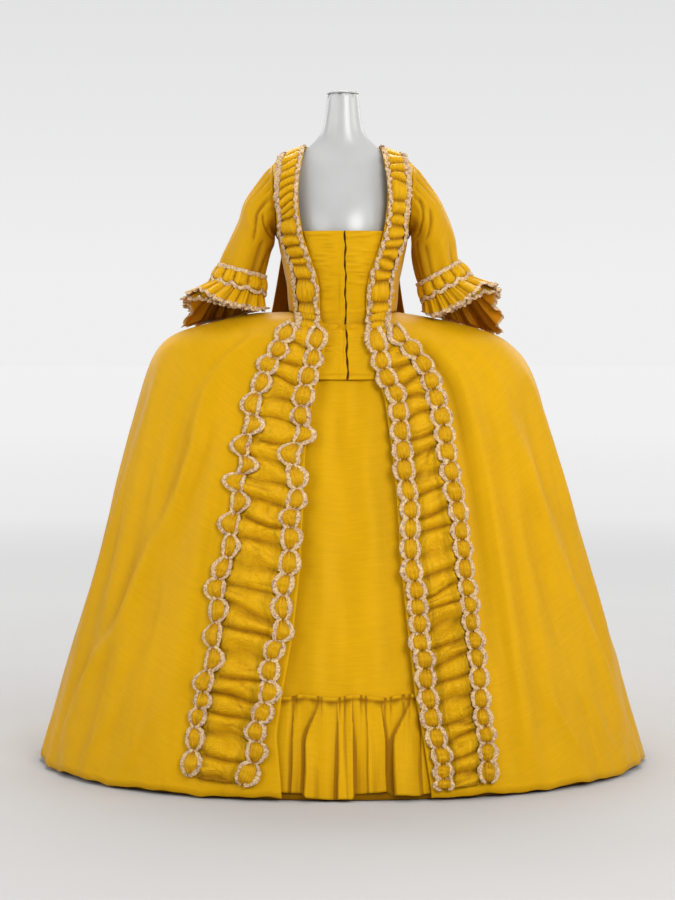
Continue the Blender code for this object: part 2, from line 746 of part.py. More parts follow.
def sleeve_frame(side, ring):
    """Centre of a sleeve ring, its direction away from the body and its direction down."""
    sign = sign_of(side)
    entry = named(SLEEVE_COLUMNS, ring)
    lean = math.radians(entry["lean"])
    centre = Vector((sign * entry["x"], entry["y"], entry["z"]))
    outward = Vector((sign * math.cos(lean), 0.0, math.sin(lean)))
    down = Vector((sign * math.sin(lean), 0.0, -math.cos(lean)))
    return centre, outward, down, entry


def sleeve_ring(side, ring, count, reach=0.0):
    """Ring of a sleeve: it starts at the underarm and goes by the front to the outside."""
    centre, outward, _, entry = sleeve_frame(side, ring)
    points = []
    for step in range(count):
        angle = 2.0 * math.pi * step / count
        away = -math.cos(angle) * (entry["wide"] + reach)
        forward = math.sin(angle) * (entry["deep"] + reach)
        points.append(centre + outward * away + Vector((0.0, -forward, 0.0)))
    return points


def make_sleeve(side, front, back, materials):
    start = even_loop(armhole_loop(side, front, back), SLEEVE_SIDES)
    apart = Vector((sign_of(side) * 2.5 * SEAM, 0.0, 0.0))
    rows = [facing(side, [point + apart for point in start])]
    for ring in SLEEVES[side]:
        rows.append(facing(side, sleeve_ring(side, ring, SLEEVE_SIDES)))
    sheet("sleeve_" + side, rows, materials["silk"], closed=True)


def make_band(side, materials):
    """Ruched band round the sleeve's end, with a fringe at each edge."""
    last = SLEEVES[side][-1]
    down = sleeve_frame(side, last)[2]
    pieces = {
        "band": (BAND, "silk", CLOTH),
        "band_fringe_top": (BAND_FRINGE_TOP, "fringe", FRINGE_WALL),
        "band_fringe_low": (BAND_FRINGE_LOW, "fringe", FRINGE_WALL),
    }
    for name, (levels, slot, wall) in pieces.items():
        rows = []
        for level in levels:
            entry = named(BAND_COLUMNS, level)
            ring = sleeve_ring(side, last, BAND_SIDES, entry["out"])
            rows.append(facing(side, [point + down * entry["down"] for point in ring]))
        sheet("%s_%s" % (name, side), rows, materials[slot], wall, closed=True)


def flounce_point(side, entry, start, angle, level, wave):
    """Point of a flounce: how far along it hangs, spreads and drifts outwards."""
    _, outward, down, _ = sleeve_frame(side, SLEEVES[side][-1])
    outer, front = -math.cos(angle), math.sin(angle)
    along = mix(entry["front"], entry["back"], (1.0 - front) / 2.0)
    beside = mix(entry["inner"], entry["outer"], (1.0 + outer) / 2.0)
    length = (along + beside) / 2.0
    away = (outward * outer + Vector((0.0, -front, 0.0))).normalized()
    hang = (down + Vector((0.0, 0.0, -1.0))) * (0.5 * length * level)
    spread = away * (entry["flare"] * level ** 1.5 * length / entry["outer"] + wave * level)
    drift = Vector((sign_of(side) * entry["drift_x"], entry["drift_y"], 0.0)) * level ** 1.5
    return start + down * SEAM + hang + spread + drift


def carried_on(above, edge, length):
    """Points past a sheet's edge, straight on from the row above it."""
    return [b + (b - a).normalized() * length for a, b in zip(above, edge)]


def make_flounce(side, kind, materials):
    """Sleeve flounce: short in front, long at the elbow, resting clear of the skirts' top."""
    entry = named(FLOUNCE_COLUMNS, FLOUNCES[kind])
    top = sleeve_ring(side, SLEEVES[side][-1], FLOUNCE_SIDES, entry["gap"])
    rows = []
    for level in FLOUNCE_LEVELS:
        line = []
        for step, start in enumerate(top):
            angle = 2.0 * math.pi * step / FLOUNCE_SIDES
            wave = entry["wave"] * (1.0 if step % 2 else -1.0)
            point = flounce_point(side, entry, start, angle, level, wave)
            floor = skirt_height(point.x, point.y) + FLOUNCE_CLEAR + FLOUNCE_FRINGE
            point.z = max(point.z, floor)
            line.append(point)
        rows.append(facing(side, line))
    name = "sleeve_flounce_%s_%s" % (kind, side)
    sheet(name, rows, materials["silk"], closed=True)
    fringe = [carried_on(rows[-2], rows[-1], length) for length in (2.0 * SEAM, FLOUNCE_FRINGE)]
    sheet(name + "_fringe", fringe, materials["fringe"], FRINGE_WALL, closed=True)


# ---------------------------------------------------------------- trimmings

def pinch_lift(index, count):
    """Height of a pinched strip over its fringe: sewn down at its ends, proud at each puff."""
    if index in (0, count - 1):
        return SEWN_LIFT
    return PUFF_LIFT if index % 2 else PINCH_LIFT


def chain_rows(panel, places):
    """Two-point rows across a pinched strip, wide and proud at each puff."""
    rows = []
    for index, (r, c) in enumerate(places):
        before, after = places[max(index - 1, 0)], places[min(index + 1, len(places) - 1)]
        run = panel.at(*after) - panel.at(*before)
        normal = panel.blend(panel.directions, r, c)
        across = normal.cross(run).normalized() * -1.0
        puff = index % 2 == 1
        half = PUFF_HALF_WIDTH if puff else PINCH_HALF_WIDTH
        sway = SWAY * LINK_SWAY[(index // 2) % len(LINK_SWAY)] * (1.0 if puff else 0.5)
        lift = FRINGE_LIFT + pinch_lift(index, len(places))
        ends = [panel.beside(r, c, across * (sway + way * half)) for way in (1.0, -1.0)]
        rows.append([panel.at(*end, lift) for end in ends])
    return rows


def edge_pair(panel, side, r, first, last, lift):
    """Two points of a panel between two columns counted from its front edge."""
    columns = (first, last)
    if side == "left":
        columns = (panel.last_column - first, panel.last_column - last)
    return facing(side, [panel.at(r, c, lift) for c in columns])


def make_skirt_trim(side, panel, materials):
    """Two pinched chains on their fringe, and the ruched rolls between them."""
    whole_rings = [TRIM_FIRST_RING] + list(range(int(TRIM_FIRST_RING) + 1, HEM_RING)) + [TRIM_LAST_RING]
    for index, (column, first) in enumerate((("inner", 0.0), ("outer", 2.0))):
        name = "chain_%s_%s" % (column, side)
        rows = [edge_pair(panel, side, r, first + 0.02, first + 0.98, FRINGE_LIFT) for r in whole_rings]
        sheet(name + "_fringe", rows, materials["fringe"], FRINGE_WALL)

        def middle(r, line=column):
            return panel.column_at(r, ladder_x(side, line, r))

        path = (TRIM_FIRST_RING + 0.05, TRIM_LAST_RING - 0.02, middle)
        places = panel.along(path, 2 * LINKS[side][index])
        sheet(name, chain_rows(panel, places), materials["silk"])
    last = panel.last_column

    def beside_inner(r):
        return 1.5 if side == "right" else last - 1.5

    path = (TRIM_FIRST_RING + 0.3, TRIM_LAST_RING, beside_inner)
    rows = []
    for step, (r, _) in enumerate(panel.along(path, 2 * ROLLS[side])):
        lift = ROLL_LIFT if step % 2 else ROLL_TROUGH
        rows.append(edge_pair(panel, side, r, 1.07, 1.93, lift))
    sheet("rolls_" + side, rows, materials["silk"])


def make_robing(side, rows, materials):
    """Ruched robing and its fringe, from the shoulder strap's end down to the waist."""
    panel = Panel(rows)
    last = panel.last_row
    levels = [0.03] + list(range(1, int(last))) + [last - 0.03]
    fringe = [edge_pair(panel, side, r, 0.01, 0.99, FRINGE_LIFT) for r in levels]
    sheet("robing_fringe_" + side, fringe, materials["fringe"], FRINGE_WALL)

    def middle(r):
        return 0.5 if side == "right" else panel.last_column - 0.5

    places = panel.along((0.1, last - 0.1, middle), 2 * ROBING_PUFFS)
    puffs = []
    for step, (r, _) in enumerate(places):
        lift = FRINGE_LIFT + pinch_lift(step, len(places))
        puffs.append(edge_pair(panel, side, r, 0.20, 0.80, lift))
    sheet("robing_" + side, puffs, materials["silk"])


# ---------------------------------------------------------------- form and stand

def form_loop(row):
    """One rounded ring of the form."""
    entry = named(FORM_COLUMNS, row)
    power = 2.0 / entry["square"]
    loop = []
    for step in range(FORM_SIDES):
        angle = 2.0 * math.pi * step / FORM_SIDES
        sine, cosine = math.sin(angle), math.cos(angle)
        x = math.copysign(entry["half_width"] * abs(sine) ** power, sine)
        depth = entry["front"] if cosine > 0 else entry["back"]
        y = math.copysign(depth * abs(cosine) ** power, -cosine)
        loop.append((x, y, entry["height"]))
    return loop


def make_form(materials):
    """Smooth limbless torso and neck, a loft of rounded rings closed top and bottom."""
    shape = bmesh.new()
    loops = [[shape.verts.new(point) for point in form_loop(row)] for row in FORM_RINGS]
    for low, high in zip(loops, loops[1:]):
        for step in range(FORM_SIDES):
            after = (step + 1) % FORM_SIDES
            shape.faces.new((low[step], low[after], high[after], high[step]))
    shape.faces.new(loops[0][::-1])
    shape.faces.new(loops[-1])
    bmesh.ops.recalc_face_normals(shape, faces=shape.faces)
    mesh = bpy.data.meshes.new("form_torso")
    shape.to_mesh(mesh)
    shape.free()
    place(bpy.data.objects.new("form_torso", mesh), materials["form"])


def make_stand(materials):
    """Neck cap, pole and round base, each turned."""
    cap_low = NECK_TOP + TOUCH
    rim = NECK_TOP_RADIUS + 0.0004
    cap = [(0.0, cap_low + CAP_THICKNESS), (rim - 0.003, cap_low + CAP_THICKNESS),
           (rim, cap_low + CAP_THICKNESS - 0.0015), (rim, cap_low), (0.0, cap_low)]
    turned("form_neck_cap", cap, materials["form"], FORM_SIDES)
    pole_low, pole_high = BASE_HUB_HEIGHT + TOUCH, FORM_BOTTOM - TOUCH
    pole = [(0.0, pole_high), (POLE_RADIUS, pole_high), (POLE_RADIUS, pole_low), (0.0, pole_low)]
    turned("stand_pole", pole, materials["stand"], 20)
    base = [(0.0, BASE_HUB_HEIGHT), (POLE_RADIUS * 1.6, BASE_HUB_HEIGHT),
            (BASE_HUB_RADIUS, BASE_RIM + 0.010), (BASE_RADIUS - 0.006, BASE_RIM),
            (BASE_RADIUS, BASE_RIM - 0.004), (BASE_RADIUS, 0.0), (0.0, 0.0)]
    turned("stand_base", base, materials["stand"], 40)


def main():
    clear_scene()
    collection = bpy.data.collections.new(COLLECTION)
    bpy.context.scene.collection.children.link(collection)
    materials = make_materials()
    make_form(materials)
    make_stand(materials)
    panels, petticoat = make_skirts(materials)
    make_petticoat_flounce(petticoat, materials)
    fronts, back = make_bodice(panels, materials)
    for side in ("left", "right"):
        make_sleeve(side, fronts[side], back, materials)
        make_band(side, materials)
        for kind in FLOUNCES:
            make_flounce(side, kind, materials)
        make_robing(side, fronts[side], materials)
        make_skirt_trim(side, panels[side], materials)


main()
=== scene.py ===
import functools
import math

import bpy
import numpy as np
from bpy.props import FloatProperty, FloatVectorProperty, IntProperty, PointerProperty
from bpy.types import Operator, Panel, PropertyGroup
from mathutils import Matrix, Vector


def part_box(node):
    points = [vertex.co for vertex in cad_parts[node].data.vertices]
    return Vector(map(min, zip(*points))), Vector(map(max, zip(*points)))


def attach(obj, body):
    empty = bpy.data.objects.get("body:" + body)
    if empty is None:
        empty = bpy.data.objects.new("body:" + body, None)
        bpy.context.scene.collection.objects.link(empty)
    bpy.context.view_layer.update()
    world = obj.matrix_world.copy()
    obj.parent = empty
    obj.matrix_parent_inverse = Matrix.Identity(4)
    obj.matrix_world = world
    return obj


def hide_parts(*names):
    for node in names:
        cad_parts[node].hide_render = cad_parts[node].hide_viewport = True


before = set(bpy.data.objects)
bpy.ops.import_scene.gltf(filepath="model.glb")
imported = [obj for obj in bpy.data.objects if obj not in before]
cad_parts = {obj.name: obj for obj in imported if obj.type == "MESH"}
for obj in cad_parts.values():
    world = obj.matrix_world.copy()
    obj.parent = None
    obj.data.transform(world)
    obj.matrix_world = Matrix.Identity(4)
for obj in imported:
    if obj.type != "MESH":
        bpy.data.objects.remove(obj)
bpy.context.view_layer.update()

bl_info = {
    "name": "Robe a la francaise",
    "version": (1, 0, 0),
    "blender": (4, 5, 0),
    "location": "3D View > Sidebar > Robe",
    "description": "Sack-back gown, petticoat and stomacher in yellow silk on a dress form",
    "category": "Object",
}

SIDES = ("left", "right")
LINES = ("inner", "outer")

# Silhouette of the skirts, waist to hem, one row a ring. The sides differ a little.
SKIRT_COLUMNS = ("left_x", "left_z", "right_x", "right_z", "front_y", "front_z", "back_y", "back_z", "square")
SKIRT_RINGS = [
    (0.119, 1.002, 0.119, 1.002, 0.128, 0.985, 0.1, 1.0, 2.2),
    (0.205, 0.998, 0.196, 0.989, 0.146, 0.962, 0.15, 0.985, 2.2),
    (0.285, 0.98, 0.275, 0.972, 0.157, 0.942, 0.185, 0.962, 2.3),
    (0.35, 0.963, 0.345, 0.949, 0.165, 0.918, 0.215, 0.935, 2.4),
    (0.388, 0.945, 0.38, 0.923, 0.173, 0.893, 0.24, 0.905, 2.4),
    (0.413, 0.921, 0.408, 0.887, 0.184, 0.862, 0.265, 0.868, 2.4),
    (0.436, 0.872, 0.434, 0.834, 0.203, 0.812, 0.3, 0.812, 2.3),
    (0.465, 0.775, 0.465, 0.74, 0.24, 0.72, 0.36, 0.718, 2.2),
    (0.51, 0.61, 0.512, 0.59, 0.3, 0.572, 0.45, 0.568, 2.15),
    (0.56, 0.415, 0.562, 0.405, 0.37, 0.393, 0.555, 0.388, 2.1),
    (0.622, 0.215, 0.622, 0.212, 0.44, 0.205, 0.66, 0.2, 2.1),
    (0.679, 0.01, 0.679, 0.01, 0.5, 0.008, 0.775, 0.01, 2.1),
]
HEM_RING = len(SKIRT_RINGS) - 1

# The robe's front edge and the middle lines of the two chains on it, by height.
LADDER_COLUMNS = ("height", "edge", "inner", "outer")
LADDERS = {"left": [
    (0.985, 0.028, 0.052, 0.098), (0.94, 0.032, 0.057, 0.124), (0.88, 0.046, 0.071, 0.16),
    (0.81, 0.062, 0.087, 0.191), (0.7, 0.078, 0.103, 0.218), (0.6, 0.081, 0.106, 0.233),
    (0.46, 0.087, 0.112, 0.248), (0.33, 0.101, 0.126, 0.266), (0.21, 0.123, 0.152, 0.286),
    (0.13, 0.134, 0.174, 0.298), (0.02, 0.123, 0.195, 0.31),
], "right": [
    (0.985, 0.036, 0.06, 0.098), (0.94, 0.046, 0.072, 0.12), (0.88, 0.065, 0.09, 0.168),
    (0.81, 0.087, 0.112, 0.2), (0.7, 0.102, 0.127, 0.22), (0.6, 0.111, 0.136, 0.236),
    (0.46, 0.119, 0.144, 0.25), (0.33, 0.132, 0.157, 0.262), (0.21, 0.145, 0.17, 0.278),
    (0.13, 0.16, 0.186, 0.288), (0.02, 0.177, 0.203, 0.292),
]}

# Body of the bodice from the waist up: half width, depth to the front, and its front edge.
BODY = [
    (1.06, 0.125, 0.14, 0.0535), (1.115, 0.136, 0.147, 0.07),
    (1.165, 0.1455, 0.15, 0.087),
]
BODY_SQUARE = 2.2

# Shoulder strap, from the armhole's foot over the shoulder to its seam at the back.
STRAP = [
    (0.095, -0.12, 1.21, 0.148, -0.052, 1.206, 0.011), (0.0985, -0.106, 1.255, 0.15, -0.062, 1.25, 0.008),
    (0.096, -0.086, 1.3, 0.153, -0.056, 1.292, 0.006), (0.09, -0.058, 1.34, 0.156, -0.032, 1.318, 0.006),
    (0.086, -0.025, 1.362, 0.158, -0.006, 1.328, 0.006), (0.083, 0.008, 1.367, 0.157, 0.02, 1.325, 0.006),
    (0.0785, 0.036, 1.36, 0.154, 0.044, 1.31, 0.005), (0.074, 0.06, 1.344, 0.15, 0.059, 1.29, 0.004),
]

# Fitted back, waist to neck: its edge at the side seam or armhole, and its middle.
BODICE_BACK = [
    (0.125, 0.0006, 1.06, 0.101, 1.06, 2.2), (0.136, 0.0006, 1.115, 0.104, 1.115, 2.2),
    (0.1455, 0.0006, 1.165, 0.108, 1.165, 2.2), (0.147, 0.052, 1.206, 0.11, 1.21, 2.5),
    (0.148, 0.06, 1.25, 0.109, 1.256, 2.5),
]
BACK_STEPS = (-1.0, -0.74, -0.49, -0.25, 0.0, 0.25, 0.49, 0.74, 1.0)
NECK_BACK = {0.0: (0.0, 0.087, 1.35), 0.25: (0.04, 0.081, 1.348), 0.49: (0.0738, 0.0612, 1.343),
             0.74: (0.112, 0.0645, 1.317), 1.0: (0.15, 0.0603, 1.289)}

# Sack back, neck to the level where it lies on the skirts.
SACK_COLUMNS = ("mid_y", "mid_z", "edge_y", "edge_z", "left_x", "right_x")
SACK_TOP = [
    (0.092, 1.351, 0.0675, 1.342, 0.082, 0.082),
    (0.108, 1.32, 0.095, 1.316, 0.1, 0.1),
    (0.128, 1.25, 0.108, 1.248, 0.116, 0.112),
    (0.156, 1.16, 0.115, 1.16, 0.136, 0.124),
    (0.195, 1.06, 0.145, 1.06, 0.154, 0.134),
    (0.238, 0.975, 0.205, 0.975, 0.172, 0.152),
]
SACK_FIRST_RING = 4
SACK_TURN_TOP = 24.0
SACK_TURN_HEM = 38.0

# Sleeves, armhole to elbow: the axis and the half sizes of each ring, and its lean.
SLEEVES = {"left": [
    (0.1835, 0.0, 1.214, 0.0515, 0.066, 52.0), (0.193, -0.002, 1.1795, 0.048, 0.062, 31.0),
    (0.2075, -0.005, 1.1463, 0.0478, 0.058, 18.0), (0.2235, -0.011, 1.104, 0.05, 0.054, 15.0),
    (0.2295, -0.011, 1.076, 0.05, 0.054, 15.0),
], "right": [
    (0.1815, 0.0, 1.2165, 0.0525, 0.066, 56.0), (0.1945, -0.002, 1.18, 0.052, 0.062, 36.0),
    (0.2035, -0.005, 1.145, 0.0525, 0.058, 26.0), (0.2115, -0.011, 1.1, 0.05, 0.054, 28.0),
    (0.2225, -0.011, 1.072, 0.05, 0.054, 29.0),
]}

# Creases of a sleeve: places round the arm at both ends, in radians from the underarm, how far
# down each starts and ends, and its depth.
SLEEVE_CREASES = {"left": [
    (1.8, 1.45, 0.03, 0.6, 0.005), (1.5, 0.7, 0.14, 0.36, 0.004), (1.0, 0.45, 0.22, 0.38, 0.0036),
    (1.05, 0.95, 0.42, 0.95, 0.0034), (4.6, 5.6, 0.08, 0.4, 0.0045), (4.2, 4.4, 0.3, 0.9, 0.0034),
], "right": [
    (1.85, 0.5, 0.06, 0.38, 0.0052), (1.95, 1.15, 0.18, 0.5, 0.0048), (1.15, 1.2, 0.48, 0.97, 0.0036),
    (0.7, 0.75, 0.35, 0.9, 0.003), (4.7, 5.7, 0.08, 0.4, 0.0045), (4.3, 4.45, 0.3, 0.9, 0.0034),
]}

# Sleeve flounces: gap, reach before and behind, its share inside the arm, spread and drift.
FLOUNCES = {
    "upper": (0.0026, 0.056, 0.09, 0.8, 0.044, 0.024, 0.004),
    "lower": (0.0004, 0.062, 0.165, 0.75, 0.036, 0.026, 0.012),
}
FLOUNCE_FRINGE = 0.01
FLOUNCE_CLEAR = 0.0005

# Stomacher: how far each half reaches from the closing, top to bottom.
STOMACHER = [(1.176, 0.093, 0.092), (1.115, 0.077, 0.077), (1.06, 0.06, 0.061)]
STOMACHER_TAIL = [(0.0, 0.055, 0.057), (1.0, 0.052, 0.058), (2.0, 0.054, 0.06), (3.0, 0.058, 0.064),
                  (4.0, 0.061, 0.068), (5.15, 0.062, 0.07)]
CLOSING_GAP = 0.004
CLOSING_LINE = (0.004, 0.01)
UNDERLAP_HALF = 0.011
STOMACHER_INSET = 0.0062
WRINKLE_HEIGHT = 0.0022

# Petticoat: how far inside the skirts it lies, its hem's shade and its flounce's place.
PETTICOAT_INSET_TOP = 0.01
PETTICOAT_INSET_HEM = 0.02
PETTICOAT_HEM_SHADOW = 1.3
FLOUNCE_TOP = 0.208
FLOUNCE_HALF = 0.211
FLOUNCE_LIFT = 0.0033

# Walls of the cloths, the gap at a seam, and widths that more than one piece keeps to.
CLOTH = 0.0015
UNDERLAP_WALL = 0.001
CAP_RIM = 0.0012
SEAM = 0.0005
UNDERLAP_INSET = STOMACHER_INSET + CLOTH + 2.5 * SEAM
HEM_WAVE = 0.002
ROBING_WIDTH = 0.055
WAIST_LIFT = np.array([0.0, 0.0, 0.001])
WAIST_EDGE = 0.05

# Rows and columns of the fine grids, and how a crease's depth becomes its painted shade.
SKIRT_FRONT_GRID = (150, 84)
SKIRT_BACK_GRID = (110, 60)
SACK_ROWS = 104
PETTICOAT_GRID = (120, 92)
PETTICOAT_BACK_GRID = (60, 84)
STOMACHER_GRID = (150, 26)
BODICE_FRONT_GRID = (90, 40)
BODICE_BACK_GRID = (50, 60)
SLEEVE_GRID = (56, 96)
LINK_STEPS = 16
BRAID_SIDES = 8
FLUFF = 0.16
CREASE_SHADE_REACHES = (1, 2, 3, 6)
CREASE_SHADE_START = 0.1
CREASE_SHADE_SPAN = 0.6

# Middle of each link of the chains, from the waist down, as seen from the front: across and down
# in steps of about two millimetres.
LINKS = {
    ("left", "inner"): [
        (317, 340), (313, 361), (308, 378), (303, 398), (300, 418), (306, 436), (288, 455), (297, 479),
        (297, 502), (289, 519), (291, 539), (290, 566), (284, 586), (281, 609), (284, 635), (274, 652),
        (269, 674), (270, 695), (262, 716), (255, 735), (257, 755), (248, 778)],
    ("left", "outer"): [
        (286, 335), (279, 351), (268, 366), (263, 384), (251, 407), (256, 426), (240, 447), (250, 467),
        (234, 482), (242, 504), (230, 525), (233, 548), (223, 571), (216, 590), (220, 612), (213, 638),
        (216, 662), (204, 686), (204, 704), (199, 719), (196, 741), (192, 767)],
    ("right", "inner"): [
        (377, 344), (381, 363), (387, 380), (396, 395), (399, 413), (400, 433), (403, 452), (404, 471),
        (407, 493), (410, 511), (410, 530), (410, 550), (412, 573), (416, 593), (418, 609), (419, 626),
        (420, 645), (425, 662), (425, 681), (428, 702), (431, 721), (436, 741), (443, 760), (443, 776),
        (444, 790)],
    ("right", "outer"): [
        (397, 338), (410, 350), (423, 366), (430, 383), (436, 400), (441, 418), (444, 436), (446, 453),
        (449, 473), (453, 493), (457, 513), (459, 533), (462, 550), (463, 571), (466, 590), (469, 607),
        (469, 624), (474, 643), (476, 660), (478, 681), (480, 702), (482, 721), (486, 738), (488, 755),
        (488, 776)],
}
# How far each chain's two edges are scalloped, 1 for round loops, how wide its pinches stay, and
# how round and how square its links are.
CHAIN_SHAPES = {
    ("left", "inner"): ((0.9, 1.0), 1.1, (0.62, 0.28)),
    ("left", "outer"): ((0.95, 1.0), 1.0, (0.62, 0.32)),
    ("right", "inner"): ((0.45, 0.95), 2.5, (0.6, 0.26)),
    ("right", "outer"): ((0.6, 1.0), 2.2, (0.7, 0.3)),
}
CHAIN_RISE = 0.0065
CHAIN_TOP_RING = 1.05
CHAIN_END_RING = 10.92

# Eye point for squared-up places: its height, its distance and its scale.
EYE_X = -0.012
EYE_DISTANCE = 4.7
EYE_Z = 0.95
EYE_SCALE = 2089.0
FRAME_MIDDLE = 337.5
HORIZON = 335.0

# Folds of the skirts: depth, width, and the line of each from the waist down: (distance round
# from the middle front, height). A depth below zero is a trough.
FRONT_FOLDS = {"left": [
    (0.013, 0.024, (-0.315, 0.76), (-0.337, 0.682), (-0.432, 0.5), (-0.534, 0.32),
     (-0.656, 0.175), (-0.7, 0.06)),
    (-0.008, 0.04, (-0.36, 0.8), (-0.41, 0.6), (-0.51, 0.4), (-0.62, 0.24), (-0.72, 0.1)),
    (-0.007, 0.026, (-0.29, 0.74), (-0.37, 0.5), (-0.45, 0.3), (-0.53, 0.12)),
    (0.006, 0.03, (-0.268, 0.72), (-0.325, 0.46), (-0.375, 0.22), (-0.4, 0.04)),
    (-0.005, 0.018, (-0.262, 0.62), (-0.298, 0.4), (-0.335, 0.16)),
    (0.006, 0.016, (-0.47, 0.23), (-0.54, 0.13), (-0.6, 0.05)),
    (0.005, 0.014, (-0.4, 0.17), (-0.45, 0.1), (-0.5, 0.03)),
    (0.005, 0.02, (-0.2, 0.945), (-0.255, 0.9), (-0.3, 0.83), (-0.33, 0.74)),
    (-0.004, 0.014, (-0.225, 0.945), (-0.285, 0.89), (-0.335, 0.82)),
    (0.007, 0.03, (-0.44, 0.86), (-0.53, 0.64), (-0.64, 0.42), (-0.76, 0.2)),
    (-0.006, 0.026, (-0.48, 0.84), (-0.6, 0.58), (-0.72, 0.34), (-0.83, 0.1)),
], "right": [
    (0.012, 0.024, (0.36, 0.79), (0.418, 0.673), (0.503, 0.494), (0.576, 0.355), (0.678, 0.183),
     (0.72, 0.07)),
    (-0.008, 0.036, (0.42, 0.8), (0.49, 0.6), (0.58, 0.42), (0.69, 0.24), (0.78, 0.08)),
    (-0.007, 0.028, (0.35, 0.7), (0.43, 0.5), (0.5, 0.32), (0.57, 0.14)),
    (0.01, 0.022, (0.2, 0.94), (0.262, 0.85), (0.305, 0.7), (0.34, 0.5), (0.375, 0.26),
     (0.4, 0.06)),
    (-0.008, 0.013, (0.17, 0.93), (0.235, 0.83), (0.272, 0.66), (0.296, 0.46), (0.315, 0.26)),
    (0.005, 0.014, (0.45, 0.2), (0.5, 0.12), (0.56, 0.05)),
    (0.005, 0.016, (0.53, 0.23), (0.6, 0.13), (0.66, 0.05)),
    (0.005, 0.022, (0.28, 0.93), (0.34, 0.86), (0.39, 0.76)),
    (-0.004, 0.014, (0.25, 0.94), (0.31, 0.88), (0.36, 0.78)),
    (0.007, 0.03, (0.46, 0.86), (0.55, 0.64), (0.66, 0.42), (0.78, 0.2)),
    (-0.006, 0.026, (0.5, 0.84), (0.62, 0.58), (0.74, 0.34), (0.85, 0.1)),
]}
# Folds of the skirt backs, measured round from the side seam.
BACK_FOLDS = {"left": [
    (0.01, 0.026, (0.03, 0.93), (0.06, 0.7), (0.1, 0.4), (0.14, 0.08)),
    (-0.008, 0.024, (0.07, 0.92), (0.13, 0.66), (0.19, 0.36), (0.25, 0.06)),
    (0.012, 0.026, (0.1, 0.94), (0.19, 0.68), (0.29, 0.38), (0.37, 0.05)),
    (-0.009, 0.024, (0.14, 0.92), (0.24, 0.64), (0.36, 0.34), (0.46, 0.05)),
    (0.01, 0.028, (0.18, 0.92), (0.29, 0.62), (0.43, 0.32), (0.55, 0.04)),
], "right": [
    (0.011, 0.025, (0.04, 0.93), (0.08, 0.68), (0.12, 0.38), (0.17, 0.07)),
    (-0.008, 0.024, (0.08, 0.92), (0.15, 0.64), (0.22, 0.34), (0.29, 0.05)),
    (0.011, 0.028, (0.12, 0.93), (0.21, 0.66), (0.32, 0.36), (0.42, 0.05)),
    (-0.009, 0.022, (0.16, 0.92), (0.26, 0.62), (0.39, 0.32), (0.5, 0.04)),
    (0.009, 0.026, (0.2, 0.92), (0.31, 0.6), (0.46, 0.3), (0.6, 0.04)),
]}
PETTICOAT_FOLDS = [
    (0.003, 0.03, (-0.055, 0.8), (-0.06, 0.55), (-0.07, 0.22)),
    (-0.003, 0.026, (-0.01, 0.78), (-0.005, 0.5), (-0.01, 0.22)),
    (0.003, 0.024, (0.045, 0.8), (0.055, 0.5), (0.06, 0.22)),
    (-0.003, 0.022, (0.085, 0.7), (0.09, 0.45), (0.1, 0.22)),
    (-0.003, 0.024, (-0.095, 0.6), (-0.1, 0.22)),
]

# Flat pleats of the sack, from the middle out: shares of the half width and of the pleats'
# thickness there.
SACK_PROFILE = [
    (0.0, 0.1), (0.085, 0.1), (0.1, 1.0), (0.255, 0.92), (0.27, 0.55), (0.44, 0.5),
    (0.452, 0.98), (0.61, 0.86), (0.622, 0.42), (0.775, 0.34), (0.786, 0.0), (1.0, 0.0),
]
# The pleats' thickness down the back: at these rows of the sack, and how thick.
SACK_THICKNESS = ((0, 1, 3, 6, 13), (0.002, 0.007, 0.012, 0.014, 0.018))

# Fold edges of the petticoat's flounce: x at the heading and at the hem, the side on top (1
# right, -1 left), how far it stands out at the hem, and how far the swell reaches.
FLOUNCE_EDGES = [
    (-0.186, -0.19, 1, 0.012, 0.03), (-0.14, -0.15, 1, 0.014, 0.03), (-0.1, -0.104, 1, 0.012, 0.026),
    (-0.05, -0.077, 1, 0.024, 0.05), (-0.013, -0.011, 1, 0.02, 0.03), (0.018, 0.02, -1, 0.019, 0.026),
    (0.047, 0.05, 1, 0.011, 0.02), (0.076, 0.086, -1, 0.016, 0.034), (0.14, 0.102, 1, 0.026, 0.05),
    (0.16, 0.158, 1, 0.014, 0.03), (0.19, 0.195, -1, 0.01, 0.03),
]
# Hem heights of its sections: each reaches to this x.
FLOUNCE_HEMS = [(-0.077, 0.014), (0.02, 0.001), (0.092, 0.017), (0.155, 0.007), (0.22, 0.012)]
HEADING_TUCKS = (-0.185, -0.145, -0.105, -0.098, -0.052, -0.046, -0.008, 0.004, 0.036, 0.046, 0.086,
                 0.098, 0.124, 0.135, 0.165, 0.188)
TUCK_DEPTH = 0.005

# Soft waves of each cloth: their size, height and slant.
WAVES = {
    "front": (0.085, 0.0024, 0.12),
    "front_fine": (0.026, 0.0006, 0.1),
    "back": (0.09, 0.003, 0.15),
    "sack": (0.1, 0.004, 0.5),
    "petticoat": (0.06, 0.0012, 0.5),
    "flounce": (0.045, 0.0026, 0.5),
    "bodice": (0.028, 0.0009, 0.5),
    "stomacher": (0.05, 0.001, 0.5),
}


# ---------------- curves and grids

def mix(a, b, t):
    return a + (b - a) * t


def ease(x):
    x = np.clip(x, 0.0, 1.0)
    return x * x * (3.0 - 2.0 * x)


def between(share, start, end):
    """1 within a span, easing to 0 at both ends over these distances."""
    return ease(share / start) * ease((1.0 - share) / end)


def arch(share):
    """0 at both ends of a span and 1 in its middle."""
    return np.sin(math.pi * share)


def bell(offset, width):
    """1 on a line, falling smoothly to 0 either side of it."""
    return np.exp(-(offset / width) ** 2)


def around(count):
    """Even angles round a ring."""
    return 2.0 * math.pi * np.arange(count) / count


def sign_of(side):
    return 1.0 if side == "right" else -1.0


